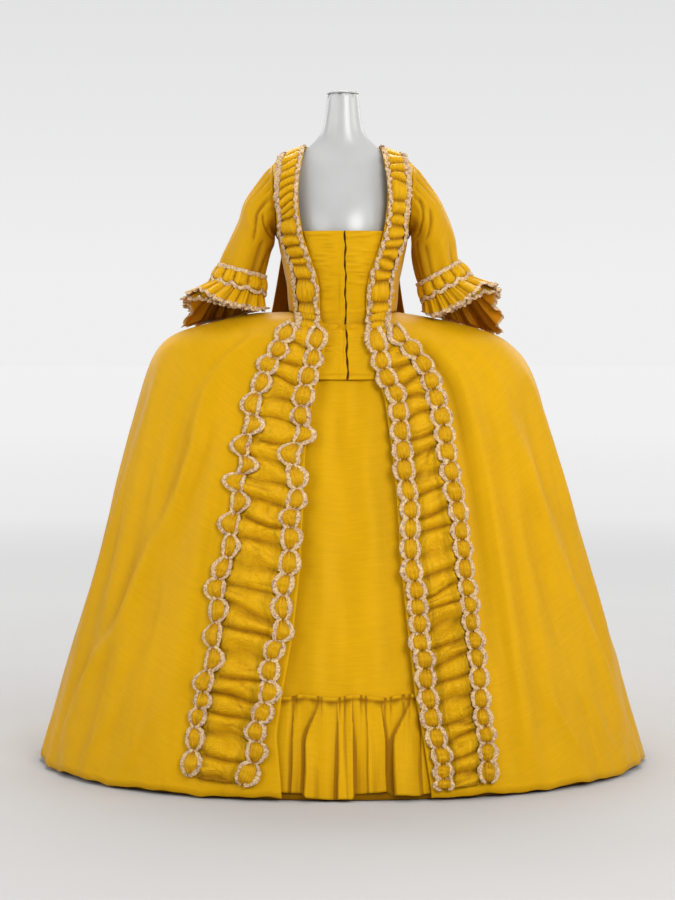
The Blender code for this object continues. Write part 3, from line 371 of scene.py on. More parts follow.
def seen_right(side, grid):
    """A grid's columns as they run to the right on either side."""
    return grid if side == "right" else grid[:, ::-1]


def unit(vectors):
    return vectors / np.maximum(np.linalg.norm(vectors, axis=-1, keepdims=True), 1e-9)


def through(table, places):
    """Values between a table's rows, on one smooth curve."""
    rows = np.asarray(table, float)
    places = np.asarray(places, float)
    low = np.clip(np.floor(places).astype(int), 0, len(rows) - 2)
    padded = np.concatenate([2 * rows[:1] - rows[1:2], rows, 2 * rows[-1:] - rows[-2:-1]])
    a, b, c, d = [padded[low + k] for k in range(4)]
    t = places - low
    t = t.reshape(t.shape + (1,) * (b.ndim - t.ndim))
    bend, turn = 2 * a - 5 * b + 4 * c - d, 3 * b - a - 3 * c + d
    return 0.5 * (2 * b + (c - a) * t + bend * t ** 2 + turn * t ** 3)


def finer(table, count):
    """A table's rows as many smooth ones."""
    return through(table, np.linspace(0.0, len(table) - 1.0, count))


def refine(grid, rows, columns):
    """A coarse grid of points as a fine smooth one."""
    return np.swapaxes(finer(np.swapaxes(finer(grid, rows), 0, 1), columns), 0, 1)


def normals_of(grid, closed=False):
    """Outward directions of a grid whose rows run down and points to the right."""
    down = np.gradient(grid, axis=0)
    if closed:
        across = np.roll(grid, -1, axis=1) - np.roll(grid, 1, axis=1)
    else:
        across = np.gradient(grid, axis=1)
    return unit(np.cross(down, across))


def raised(grid, relief, closed=False):
    """A grid moved out along its normals."""
    return grid + normals_of(grid, closed) * np.asarray(relief)[..., None]


def lengths_along(points):
    """Distance to each point from the first, along a line or each row of lines."""
    steps = np.linalg.norm(np.diff(points, axis=-2), axis=-1)
    start = np.zeros(steps.shape[:-1] + (1,))
    return np.concatenate([start, np.cumsum(steps, axis=-1)], axis=-1)


def ripple(across, down, kind, seed):
    """Soft uneven waves: a few slanting ones added up."""
    size, height, slant = WAVES[kind]
    chance = np.random.default_rng(seed)
    total = np.zeros(np.broadcast(across, down).shape)
    for _ in range(6):
        turn = chance.uniform(-slant, slant)
        pace = 2.0 * math.pi / (size * chance.uniform(0.7, 1.5))
        line = across * math.cos(turn) + down * math.sin(turn) * 0.6
        total += np.sin(line * pace + chance.uniform(0.0, 6.28))
    return total * height / 2.4


def fold_relief(across, height, folds):
    """Troughs and ridges along given lines, each fading at its ends."""
    relief = np.zeros(np.broadcast(across, height).shape)
    for depth, width, *line in folds:
        line = np.array(line)[::-1]
        places = np.interp(height, line[:, 1], np.arange(len(line)))
        middle = through(line[:, :1], places)[..., 0]
        below, above = line[0, 1], line[-1, 1]
        fade = ease((height - below + 0.07) / 0.14) * ease((above + 0.05 - height) / 0.1)
        relief += depth * fade * bell(across - middle, width)
    return relief


class Surface:
    """A fine cloth grid, read at any place between its points."""

    def __init__(self, grid):
        self.grid = grid
        self.normals = normals_of(grid)
        self.rows, self.columns = grid.shape[:2]

    def pick(self, values, r, c):
        row = np.clip(np.floor(r).astype(int), 0, self.rows - 2)
        column = np.clip(np.floor(c).astype(int), 0, self.columns - 2)
        down, across = (r - row)[..., None], (c - column)[..., None]
        top, low = [mix(values[at, column], values[at, column + 1], across) for at in (row, row + 1)]
        return mix(top, low, down)

    def normal(self, r, c):
        return unit(self.pick(self.normals, np.clip(r, 0, self.rows - 1), c))

    def at(self, r, c, lift=0.0):
        r, c = np.broadcast_arrays(np.asarray(r, float), np.asarray(c, float))
        lift = np.broadcast_to(lift, r.shape)[..., None]
        return self.pick(self.grid, r, c) + self.normal(r, c) * lift

    def steps_at(self, r, c):
        """One row down and one column across at a place, as vectors."""
        return self.at(r + 0.5, c) - self.at(r - 0.5, c), self.at(r, c + 0.5) - self.at(r, c - 0.5)

    def beside(self, r, c, step):
        """Row and column of the place a step, a vector, away."""
        shape = np.broadcast_shapes(np.shape(r), np.shape(c), step.shape[:-1])
        r, c = [np.broadcast_to(np.asarray(place, float), shape).copy() for place in (r, c)]
        goal = self.at(r, c) + step
        for _ in range(4):
            off = goal - self.at(r, c)
            down, across = self.steps_at(r, c)
            dd, aa, da = (down * down).sum(-1), (across * across).sum(-1), (down * across).sum(-1)
            od, oa = (off * down).sum(-1), (off * across).sum(-1)
            area = np.maximum(dd * aa - da * da, 1e-14)
            r += np.clip((od * aa - oa * da) / area, -4, 4)
            c += np.clip((oa * dd - od * da) / area, -4, 4)
        return r, c

    def column_at(self, r, x):
        """Column where a row reaches x, if columns run to the right."""
        r, x = np.broadcast_arrays(np.asarray(r, float), np.asarray(x, float))
        nearest = np.clip(np.round(r).astype(int), 0, self.rows - 1)
        found = [np.interp(want, self.grid[row, :, 0], np.arange(self.columns))
                 for row, want in zip(nearest.ravel(), x.ravel())]
        return np.array(found).reshape(r.shape)


def seen_from_front(points):
    """Places squared up from the eye point, across and down."""
    distance = EYE_DISTANCE + points[..., 1]
    across = FRAME_MIDDLE + (points[..., 0] - EYE_X) * EYE_SCALE / distance
    down = HORIZON + (EYE_Z - points[..., 2]) * EYE_SCALE / distance
    return np.stack([across, down], axis=-1)


def place_on(surface, wanted):
    """Rows and columns of a surface at these places seen from the front."""
    seen = seen_from_front(surface.grid)
    places = []
    for goal in np.array(wanted, float):
        row, col = divmod(int(np.argmin(((seen - goal) ** 2).sum(-1))), surface.columns)
        r, c = float(row), float(col)
        for _ in range(6):
            near = [seen_from_front(surface.at(*place)) for place in
                    ((r, c), (r + 0.5, c), (r - 0.5, c), (r, c + 0.5), (r, c - 0.5))]
            slope = np.stack([near[1] - near[2], near[3] - near[4]], axis=-1)
            change = np.clip(np.linalg.solve(slope, goal - near[0]), -2, 2)
            r, c = r + change[0], c + change[1]
        places.append((r, c))
    return np.array(places)


# ---------------- materials

# Noises of the finishes: scale along each axis, and detail.
WEFT_SLUBS = ((22.0, 420.0, 1.0), 2.0)
THICK_THREADS = ((9.0, 150.0, 1.0), 3.0)
FINE_THREADS = ((900.0, 1500.0, 1.0), 1.0)
CLOUDY_TONE = ((7.0, 7.0, 5.0), 3.0)
CRINKLES = ((300.0, 55.0, 1.0), 2.0)
FORM_CLOUDS = ((9.0, 9.0, 6.0), 3.0)
ENAMEL_GRAIN = ((60.0, 60.0, 60.0), 3.0)
THREAD_HEIGHT = 0.0006
SILK_GLOSS_TINT = (1.0, 0.68, 0.1, 1.0)
SILK_SHEEN_TINT = (1.0, 0.6, 0.05, 1.0)
# Painted crease shade: what a deep crease keeps of the silk's red and green, and how strongly the shade
# darkens it.
CREASE_SHADE_RED = 0.3
CREASE_SHADE_GREEN = 0.19
CREASE_SHADE_STRENGTH = 0.75
KNOT_SCALE = 230.0
KNOT_PATCHES = 120.0
KNOT_HEIGHT = 0.0018
# Painted shade in the gaps between the fringe's knots.
KNOT_GAP_SHADE = (0.52, 0.42, 0.34)
WHITE = (1.0, 1.0, 1.0)
# Silks: the setting that colours each, the share of it, and its threads and gloss.
SILKS = {
    "silk_gown": ("colour", 1.0, {}),
    # The trims' silk: the gown's silk made a tenth lighter, painted light, with crisper gloss and crinkles.
    "silk_trim": ("colour", 1.1, {"slubs": 0.45, "roughness": 0.34, "crinkle": 6.0}),
    # Inner sides: the same silk coloured a darker brown, painted shade; the sack's inside is darker still.
    "silk_inner": ("shaded_inner_colour", 1.0, {"roughness": 0.6, "sheen": 0.0}),
    "silk_behind": ("shaded_inner_colour", 0.45, {"roughness": 0.7, "sheen": 0.0}),
    # Underlap: its own silk, coloured dark red-brown, partly painted shade of the closing's gap.
    "silk_underlap": ("underlap_and_shade_colour", 1.0, {"slubs": 0.4, "roughness": 0.7}),
}


def feed(tree, made, inputs):
    """Fill a node's inputs: a socket is linked, anything else is a value."""
    for key, value in inputs.items():
        if isinstance(value, bpy.types.NodeSocket):
            tree.links.new(value, made.inputs[key])
        else:
            made.inputs[key].default_value = value


def node(tree, kind, inputs=None, **settings):
    made = tree.nodes.new("ShaderNode" + kind)
    for key, value in settings.items():
        setattr(made, key, value)
    feed(tree, made, inputs or {})
    return made


def math_node(tree, operation, first, second):
    return node(tree, "Math", {0: first, 1: second}, operation=operation).outputs[0]


def stretched_noise(tree, vector, scale, detail):
    """Noise drawn out along the threads, by a mapping of its own."""
    mapping = node(tree, "Mapping", {"Scale": scale, "Vector": vector})
    return node(tree, "TexNoise", {"Scale": 1.0, "Detail": detail, "Vector": mapping.outputs[0]}).outputs[0]


def ramp(tree, factor, *stops):
    """A factor as a colour between stops, each a place and a colour."""
    made = node(tree, "ValToRGB", {0: factor})
    marks = made.color_ramp.elements
    for mark, (place, colour) in zip(marks, (stops[0], stops[-1])):
        mark.position = place
        mark.color = (*colour, 1.0)
    for place, colour in stops[1:-1]:
        marks.new(place).color = (*colour, 1.0)
    return made.outputs[0]


def scaled(colour, factor):
    return tuple(min(channel * factor, 1.0) for channel in colour)


def tone_of(tree, factor, colour, dark, light):
    """A colour varied between a darker and a lighter share of it."""
    return ramp(tree, factor, (0.35, scaled(colour, dark)), (0.65, scaled(colour, light)))


def bump_from(tree, height, distance, strength=1.0):
    return node(tree, "Bump", {"Strength": strength, "Distance": distance, "Height": height}).outputs[0]


def object_coordinates(tree):
    return node(tree, "TexCoord").outputs["Object"]


def material(name, build, *values, **more):
    """The material of this name, built when first asked for."""
    found = bpy.data.materials.get(name)
    if found is None:
        found = bpy.data.materials.new(name)
        found.use_nodes = True
        build(found.node_tree, found.node_tree.nodes["Principled BSDF"], *values, **more)
    return found


def silk_threads():
    """Group: weft slubs, fine threads and a cloudy tone."""
    found = bpy.data.node_groups.get("silk_threads")
    if found:
        return found
    tree = bpy.data.node_groups.new("silk_threads", "ShaderNodeTree")
    for label, way, kind in (("Weave", "INPUT", "Vector"), ("Place", "INPUT", "Vector"),
                             ("Slub Share", "INPUT", "Float"), ("Tone", "OUTPUT", "Float"),
                             ("Height", "OUTPUT", "Float"), ("Gloss", "OUTPUT", "Float")):
        tree.interface.new_socket(name=label, in_out=way, socket_type="NodeSocket" + kind)
    entry = tree.nodes.new("NodeGroupInput").outputs
    slub, thick, fine = [stretched_noise(tree, entry["Weave"], *noise)
                         for noise in (WEFT_SLUBS, THICK_THREADS, FINE_THREADS)]
    cloud = stretched_noise(tree, entry["Place"], *CLOUDY_TONE)

    def added(first, share, second, other):
        parts = [math_node(tree, "MULTIPLY", *part) for part in ((first, share), (second, other))]
        return math_node(tree, "ADD", *parts)

    both = added(slub, 0.6, thick, 0.4)
    shown = math_node(tree, "MULTIPLY", both, entry["Slub Share"])
    height = math_node(tree, "ADD", shown, math_node(tree, "MULTIPLY", fine, 0.25))
    leave = tree.nodes.new("NodeGroupOutput")
    feed(tree, leave, {"Tone": added(both, 0.55, cloud, 0.45), "Height": height, "Gloss": cloud})
    return tree


def silk(tree, shader, colour, slubs=0.6, roughness=0.46, sheen=0.1, crinkle=0.0):
    """Slubbed silk taffeta: threads, a soft gloss, a warm sheen and painted shade in its creases."""
    weave = node(tree, "UVMap", uv_map="weave").outputs[0]
    inputs = {"Slub Share": slubs, "Weave": weave, "Place": object_coordinates(tree)}
    threads = node(tree, "Group", inputs, node_tree=silk_threads()).outputs
    # Painted shade: the colour darkens toward a deep brown by the piece's shade layer, in creases, gathers
    # and beside trims.
    crease = node(tree, "Attribute", attribute_name="hollow").outputs["Fac"]
    deep = (colour[0] * CREASE_SHADE_RED, colour[1] * CREASE_SHADE_GREEN, colour[2], 1.0)
    shaded = node(tree, "Mix", data_type="RGBA")
    feed(tree, shaded, {"Factor": math_node(tree, "MULTIPLY", crease, CREASE_SHADE_STRENGTH),
                        "A": tone_of(tree, threads["Tone"], colour, 0.91, 1.07), "B": deep})
    gloss = node(tree, "MapRange", {"Value": threads["Gloss"], "From Min": 0.3, "From Max": 0.7,
                                    "To Min": roughness - 0.06, "To Max": roughness + 0.08})
    relief = threads["Height"]
    if crinkle:
        creases = stretched_noise(tree, weave, *CRINKLES)
        relief = math_node(tree, "ADD", relief, math_node(tree, "MULTIPLY", creases, crinkle))
    feed(tree, shader, {
        "Base Color": shaded.outputs["Result"], "Roughness": gloss.outputs[0],
        "Normal": bump_from(tree, relief, THREAD_HEIGHT),
        "Specular IOR Level": 0.45 if crinkle else 0.3, "Specular Tint": SILK_GLOSS_TINT,
        "Sheen Weight": sheen, "Sheen Roughness": 0.4, "Sheen Tint": SILK_SHEEN_TINT})


def fly_fringe(tree, shader):
    """Knotted silk fly fringe: mottled lilac, cream and beige, with painted shade in the gaps between its
    knots.
    """
    colours = bpy.context.scene.robe_silk
    place = object_coordinates(tree)
    knots = node(tree, "TexVoronoi", {"Scale": KNOT_SCALE, "Vector": place}).outputs["Distance"]
    patches = node(tree, "TexNoise", {"Scale": KNOT_PATCHES, "Detail": 3.0, "Vector": place}).outputs[0]
    mottled = ramp(tree, patches, (0.28, colours.fringe_dark), (0.42, colours.fringe_lilac),
                   (0.54, colours.fringe_beige), (0.74, colours.fringe_light))
    shade = node(tree, "Mix", data_type="RGBA", blend_type="MULTIPLY")
    feed(tree, shade, {"Factor": 0.8, "A": mottled, "B": ramp(tree, knots, (0.38, WHITE), (0.8, KNOT_GAP_SHADE))})
    height = math_node(tree, "SUBTRACT", 1.0, knots)
    feed(tree, shader, {"Base Color": shade.outputs["Result"], "Normal": bump_from(tree, height, KNOT_HEIGHT),
                        "Roughness": 0.8, "Specular IOR Level": 0.2, "Sheen Weight": 0.2})


def form_glaze(tree, shader):
    """Glazed pale cover of the dress form, with faint clouding."""
    settings = bpy.context.scene.robe_form
    cloud = stretched_noise(tree, object_coordinates(tree), *FORM_CLOUDS)
    feed(tree, shader, {
        "Base Color": tone_of(tree, cloud, settings.colour, 0.94, 1.04),
        "Normal": bump_from(tree, cloud, 0.001, 0.3), "Roughness": settings.roughness,
        "Specular IOR Level": 0.5, "Coat Weight": 0.3, "Coat Roughness": 0.28})


def stand_enamel(tree, shader):
    """Satin enamel on the stand's metal, a little mottled."""
    grain = stretched_noise(tree, object_coordinates(tree), *ENAMEL_GRAIN)
    feed(tree, shader, {
        "Base Color": tone_of(tree, grain, bpy.context.scene.robe_form.stand_colour, 0.9, 1.08),
        "Normal": bump_from(tree, grain, 0.0004, 0.4), "Metallic": 0.55, "Roughness": 0.38})


def silk_of(name):
    """A silk by its name, built from its row of the table."""
    source, share, finish = SILKS[name]
    return material(name, silk, scaled(getattr(bpy.context.scene.robe_silk, source), share), **finish)


# ---------------- pieces

def select_only(part):
    bpy.ops.object.select_all(action="DESELECT")
    bpy.context.view_layer.objects.active = part
    part.select_set(True)


def in_edit_mode(part, *steps):
    """Edit-mode steps on all of a piece, then outward faces."""
    select_only(part)
    bpy.ops.object.mode_set(mode="EDIT")
    bpy.ops.mesh.select_all(action="SELECT")
    for step, settings in steps:
        step(**settings)
    bpy.ops.mesh.normals_make_consistent(inside=False)
    bpy.ops.object.mode_set(mode="OBJECT")


def link_piece(name, data):
    """New object of this data in the scene."""
    part = bpy.data.objects.new(name, data)
    bpy.context.scene.collection.objects.link(part)
    return part


def start_piece(name, points, faces, materials):
    """New mesh object with its finish and a layer for its threads' map."""
    mesh = bpy.data.meshes.new(name)
    mesh.from_pydata(points.reshape(-1, 3).tolist(), [], faces)
    mesh.uv_layers.new(name="weave")
    for finish in materials:
        mesh.materials.append(finish)
    mesh.shade_smooth()
    return link_piece(name, mesh)


def grid_faces(rows, columns, closed=False):
    width = columns if closed else columns - 1
    r, c = np.meshgrid(np.arange(rows - 1), np.arange(width), indexing="ij")
    after = (c + 1) % columns
    corners = [r * columns + c, (r + 1) * columns + c, (r + 1) * columns + after, r * columns + after]
    return np.stack(corners, axis=-1).reshape(-1, 4)


def grid_weave(grid, closed, turn=False):
    """Threads' map of a grid in metres, from the middle of its top."""
    full = np.concatenate([grid, grid[:, :1]], axis=1) if closed else grid
    across = lengths_along(full)
    across = across - across[:, [full.shape[1] // 2]]
    down = np.swapaxes(lengths_along(np.swapaxes(full, 0, 1)), 0, 1)
    uv = np.stack([down, across] if turn else [across, down], axis=-1)
    corners = [uv[:-1, :-1], uv[1:, :-1], uv[1:, 1:], uv[:-1, 1:]]
    return np.stack(corners, axis=2).reshape(-1, 2)


def crease_shade_mask(grid, closed):
    """How deep each point lies, as the mask of the painted crease shade: 0 on open cloth, 1 in a tight
    crease.
    """
    normals = normals_of(grid, closed)
    deepest = np.zeros(grid.shape[:2])
    for reach in CREASE_SHADE_REACHES:
        for axis, count in enumerate(deepest.shape):
            here = np.arange(count)
            sides = []
            for there in (here - reach, here + reach):
                inside = (there >= 0) & (there < count) | (closed and axis == 1)
                sides.append(np.take(grid, np.where(inside, there % count, here), axis))
            far = np.linalg.norm(sides[0] - sides[1], axis=-1) / 2.0
            sunk = ((sum(sides) / 2.0 - grid) * normals).sum(-1) / np.maximum(far, 1e-5)
            deepest = np.maximum(deepest, (sunk - CREASE_SHADE_START) / CREASE_SHADE_SPAN)
    return np.clip(deepest, 0.0, 1.0)


def sewn_on(part, solid):
    """Ride on the garment and stand for the CAD solid."""
    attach(part, "root")
    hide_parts(solid)


def cloth(solid, grid, finish="silk_gown", closed=False, wall=CLOTH,
          inner=None, turn=False, shade=1.0, added_shade=0.0):
    """A cloth piece: a shell on its grid, thickened inwards, with painted shade in its creases and along
    added lines.
    """
    materials = [silk_of(name) for name in (finish, inner) if name]
    part = start_piece(solid + "_cloth", grid, grid_faces(*grid.shape[:2], closed).tolist(), materials)
    threads = grid_weave(grid, closed, turn).astype(np.float32)
    part.data.uv_layers["weave"].data.foreach_set("uv", threads.ravel())
    # Painted shade layer: crease depth times shade, plus the added shade of gathers, edges, hems and
    # underarms.
    depth = part.data.attributes.new("hollow", "FLOAT", "POINT")
    shown = np.clip(shade * crease_shade_mask(grid, closed) + added_shade, 0.0, 1.0)
    depth.data.foreach_set("value", shown.astype(np.float32).ravel())
    shell = part.modifiers.new("wall", "SOLIDIFY")
    shell.thickness = wall
    shell.offset = -1.0
    shell.material_offset = 1 if inner else 0
    sewn_on(part, solid)


def tube(path, normals, width, thickness, closed=False, tilt=0.0):
    """Points and faces of a soft flat braid along a path, turned about its run."""
    path = np.asarray(path)
    if closed:
        run = unit(np.roll(path, -1, axis=0) - np.roll(path, 1, axis=0))
    else:
        run = unit(np.gradient(path, axis=0))
    side = unit(np.cross(normals, run))
    up = unit(np.cross(run, side))
    tilt = np.broadcast_to(tilt, len(path))[:, None]
    side, up = side * np.cos(tilt) + up * np.sin(tilt), up * np.cos(tilt) - side * np.sin(tilt)
    angle = 2.0 * np.pi * np.arange(BRAID_SIDES) / BRAID_SIDES
    width, thickness = [np.broadcast_to(size, len(path))[:, None, None] / 2.0 for size in (width, thickness)]
    flat = np.sign(np.cos(angle)) * np.abs(np.cos(angle)) ** 0.8
    ring = side[:, None] * flat[None, :, None] * width
    ring = ring + up[:, None] * np.sin(angle)[None, :, None] * thickness
    fluff = np.random.default_rng(len(path)).uniform(-1.0, 1.0, ring.shape[:2])
    points = path[:, None] + ring * (1.0 + FLUFF * fluff[..., None])
    count, sides = len(path), np.arange(BRAID_SIDES)
    here = np.arange(count if closed else count - 1)[:, None] * BRAID_SIDES
    there, after = (here + BRAID_SIDES) % (count * BRAID_SIDES), (sides + 1) % BRAID_SIDES
    corners = [here + sides, here + after, there + after, there + sides]
    faces = np.stack(corners, axis=-1).reshape(-1, 4).tolist()
    if not closed:
        faces += [sides[::-1].tolist(), (sides + (count - 1) * BRAID_SIDES).tolist()]
    return points.reshape(-1, 3), faces


def braids(solid, tubes):
    """One piece of fly fringe made of one or more braids."""
    points, faces, offset = [], [], 0
    for more, ring in tubes:
        points.append(more)
        faces += [[index + offset for index in face] for face in ring]
        offset += len(more)
    name = solid.removesuffix("_fringe") + "_braid"
    part = start_piece(name, np.concatenate(points), faces, [material("fly_fringe", fly_fringe)])
    in_edit_mode(part)
    sewn_on(part, solid)


# ---------------- the skirts' surface

def ring_at(ring):
    """Measures of the skirts at a ring, by their names."""
    return dict(zip(SKIRT_COLUMNS, np.moveaxis(through(SKIRT_RINGS, ring), -1, 0)))


def by_side(level, x, y, across, along):
    """The measure of a place's own side, and that of the front or back."""
    sideways = np.where(x >= 0, level["right" + across], level["left" + across])
    return sideways, np.where(y < 0, level["front" + along], level["back" + along])


def skirt_point(ring, turn):
    """Points of the outer skirt; turn is in degrees from the front to the right."""
    ring, turn = np.broadcast_arrays(np.asarray(ring, float), np.asarray(turn, float))
    turn = (turn + 180.0) % 360.0 - 180.0
    level = ring_at(ring)
    angle = np.radians(np.abs(turn))
    cosine = np.cos(angle)
    power = 2.0 / level["square"]
    behind = np.where(cosine >= 0, -1.0, 1.0)
    reach, depth = by_side(level, turn, behind, "_x", "_y")
    side_z, end_z = by_side(level, turn, behind, "_z", "_z")
    x = np.where(turn >= 0, 1.0, -1.0) * reach * np.sin(angle) ** power
    y = behind * depth * np.abs(cosine) ** power
    return np.stack([x, y, mix(side_z, end_z, cosine ** 2)], axis=-1)


def skirt_normal(ring, turn):
    ring = np.asarray(ring, float)
    above, below = np.maximum(ring - 0.3, 0.0), np.minimum(ring + 0.3, HEM_RING)
    down = skirt_point(below, turn) - skirt_point(above, turn)
    across = skirt_point(ring, turn + 2.0) - skirt_point(ring, turn - 2.0)
    return unit(np.cross(down, across))


def turn_at(ring, x):
    """Turn of the point of a ring's front that lies at x."""
    level = ring_at(ring)
    reach = np.where(x >= 0, level["right_x"], level["left_x"])
    ratio = np.minimum(np.abs(x) / reach, 1.0)
    return np.copysign(np.degrees(np.arcsin(ratio ** (level["square"] / 2.0))), x)


def ladder_x(side, column, ring):
    rows = np.array(LADDERS[side])[::-1]
    height = ring_at(ring)["front_z"]
    return sign_of(side) * np.interp(height, rows[:, 0], rows[:, LADDER_COLUMNS.index(column)])


def skirt_height(x, y):
    """Height of the skirts' top at a place, found by widening the ring until it holds it."""
    low, high = np.zeros(x.shape), np.full(x.shape, float(HEM_RING))

    def shares_at(ring):
        level = ring_at(ring)
        reach, depth = by_side(level, x, y, "_x", "_y")
        return level, (np.abs(x) / reach) ** level["square"], (np.abs(y) / depth) ** level["square"]

    for _ in range(20):
        ring = (low + high) / 2.0
        _, across, along = shares_at(ring)
        outside = across + along > 1.0
        low, high = np.where(outside, ring, low), np.where(outside, high, ring)
    level, _, along = shares_at(low)
    return mix(*by_side(level, x, y, "_z", "_z"), np.minimum(along, 1.0))


def laid_rings(rings, turns, sign, stops_on):
    """Points at places along each ring's arc, with those places and the arcs."""
    arcs = lengths_along(skirt_point(rings[:, None], sign * turns[None]))
    stops = [stops_on(index, arc) for index, arc in enumerate(arcs)]
    grid = [skirt_point(ring, sign * np.interp(places, arc, turns))
            for ring, arc, places in zip(rings, arcs, stops)]
    return np.array(grid), np.array(stops), arcs


def skirt_sector(side, rings, first, last, columns, crowd=1.0):
    """Grid of the skirt between two turns of each ring, even along each, and its arcs."""
    turns = np.linspace(float(np.min(first)), float(np.max(last)), 240)
    share = np.linspace(0.0, 1.0, columns) ** crowd

    def stops_on(index, arc):
        return mix(np.interp(first[index], turns, arc), np.interp(last[index], turns, arc), share)

    return laid_rings(rings, turns, sign_of(side), stops_on)[:2]


@functools.lru_cache(None)
def skirt_front(side):
    """Robe skirt front from its edge to the side seam, with its folds."""
    rows, columns = SKIRT_FRONT_GRID
    sign = sign_of(side)
    rings = np.linspace(0.0, HEM_RING, rows)
    corner = 0.016 * ease((1.7 - rings) / 1.7) + 0.003
    edge = np.abs(turn_at(rings, ladder_x(side, "edge", rings) + sign * corner))
    grid, arcs = skirt_sector(side, rings, edge, np.full(rows, 89.93), columns, 1.1)
    dense = skirt_point(rings[:, None], sign * np.linspace(0.0, 1.0, 60)[None] * edge[:, None])
    across = sign * (arcs - arcs[:, :1] + lengths_along(dense)[:, -1:])
    height = grid[..., 2]
    fan = across * (0.55 / (0.35 + 0.25 * (1.0 - height)))
    first_seed = 11 if sign > 0 else 23
    waves = ripple(fan, height, "front", first_seed) + ripple(fan, height, "front_fine", first_seed + 20)
    relief = fold_relief(across, height, FRONT_FOLDS[side]) + waves * ease((0.99 - height) / 0.5)
    from_edge = np.abs(across) - np.abs(across[:, :1])
    to_seam = np.abs(across[:, -1:]) - np.abs(across)
    relief = np.maximum(relief, -0.009) * ease(from_edge / 0.13) * ease(to_seam / 0.05)
    grid = raised(grid, sign * relief)
    hem = np.sin(across * 27.0) + 0.7 * np.sin(across * 61.0 + 2.0 * sign) + 0.5 * np.sin(across * 110.0)
    grid[..., 2] += HEM_WAVE * hem * ease((0.14 - height) / 0.12)
    return Surface(seen_right(side, grid))


def sack_share(ring):
    return (ring - SACK_FIRST_RING) / (HEM_RING - SACK_FIRST_RING)


def sack_turn(ring):
    """Turn of the sack's edge from the middle of the back."""
    return mix(SACK_TURN_TOP, SACK_TURN_HEM, np.maximum(sack_share(ring), 0.0))


def skirt_back(side):
    """Robe skirt back, from the side seam to just under the sack's edge."""
    rows, columns = SKIRT_BACK_GRID
    sign = sign_of(side)
    rings = np.linspace(0.0, HEM_RING, rows)
    grid, arcs = skirt_sector(side, rings, np.full(rows, 90.07), 184.0 - sack_turn(rings), columns)
    height = grid[..., 2]
    swell = ripple(arcs, height, "back", 57 if sign > 0 else 71) * ease((0.99 - height) / 0.5)
    relief = (fold_relief(arcs, height, BACK_FOLDS[side]) + swell) * ease(arcs / 0.05)
    under = (arcs[:, -1:] - arcs) / 0.06
    return seen_right(side, raised(grid, sign * np.clip(relief, -0.008, 0.012) * ease(under)))


def sack():
    """Sack back: its own fall, then the skirts' back moved out, with box pleats."""
    knots = [share for share, _ in SACK_PROFILE]
    fill = [mix(a, b, part / count) for a, b in zip(knots, knots[1:])
            for count in [max(int((b - a) / 0.022), 2)] for part in range(count)]
    half = np.array(fill + [1.0])
    steps = np.concatenate([-half[:0:-1], half])
    coarse = []
    for row in SACK_TOP:
        fall = dict(zip(SACK_COLUMNS, row))
        reach = np.where(steps > 0, fall["left_x"], fall["right_x"])
        y, z = [mix(fall["mid" + axis], fall["edge" + axis], steps ** 2) for axis in ("_y", "_z")]
        coarse.append(np.stack([-steps * reach, y, z], axis=-1))
    for ring in range(SACK_FIRST_RING, HEM_RING + 1):
        turns = 180.0 + steps * float(sack_turn(ring))
        out = skirt_normal(np.full(steps.shape, float(ring)), turns)
        coarse.append(skirt_point(ring, turns) + out * mix(0.01, 0.005, sack_share(ring)))
    grid = finer(coarse, SACK_ROWS)
    rows = np.linspace(0.0, len(coarse) - 1.0, SACK_ROWS)
    profile = np.interp(np.abs(steps), *np.array(SACK_PROFILE).T)
    thickness = np.interp(rows, *SACK_THICKNESS)
    height = grid[..., 2]
    swell = ripple(-grid[..., 0], height, "sack", 91) * ease((1.2 - height) / 0.8)
    spread = ease((1.0 - np.abs(steps)) / 0.1)
    return raised(grid, profile[None] * thickness[:, None] + swell * spread[None])


def petticoat_inset(grid, rings):
    """The petticoat's grid moved in from the skirts'."""
    return raised(grid, -mix(PETTICOAT_INSET_TOP, PETTICOAT_INSET_HEM, rings / HEM_RING)[:, None])


@functools.lru_cache(None)
def petticoat_front():
    rows, columns = PETTICOAT_GRID
    rings = np.linspace(0.2, HEM_RING, rows)
    share = np.linspace(-1.0, 1.0, columns)
    share = np.sign(share) * np.abs(share) ** 1.35

    def stops_on(index, arc):
        middle = arc[200]
        return middle + share * np.where(share < 0, middle, arc[-1] - middle)

    grid, stops, arcs = laid_rings(rings, np.linspace(-89.9, 89.9, 400), 1.0, stops_on)
    across = stops - arcs[:, 200:201]
    grid = petticoat_inset(grid, rings)
    height = grid[..., 2]
    relief = fold_relief(across, height, PETTICOAT_FOLDS) + ripple(across, height, "petticoat", 5)
    return Surface(raised(grid, relief * ease((0.3 - np.abs(across)) / 0.1)))


def petticoat_back():
    rows, columns = PETTICOAT_BACK_GRID
    rings = np.linspace(0.2, HEM_RING, rows)
    grid = laid_rings(rings, np.linspace(90.1, 269.9, 400), 1.0,
                      lambda index, arc: np.linspace(0.0, arc[-1], columns))[0]
    return petticoat_inset(grid, rings)


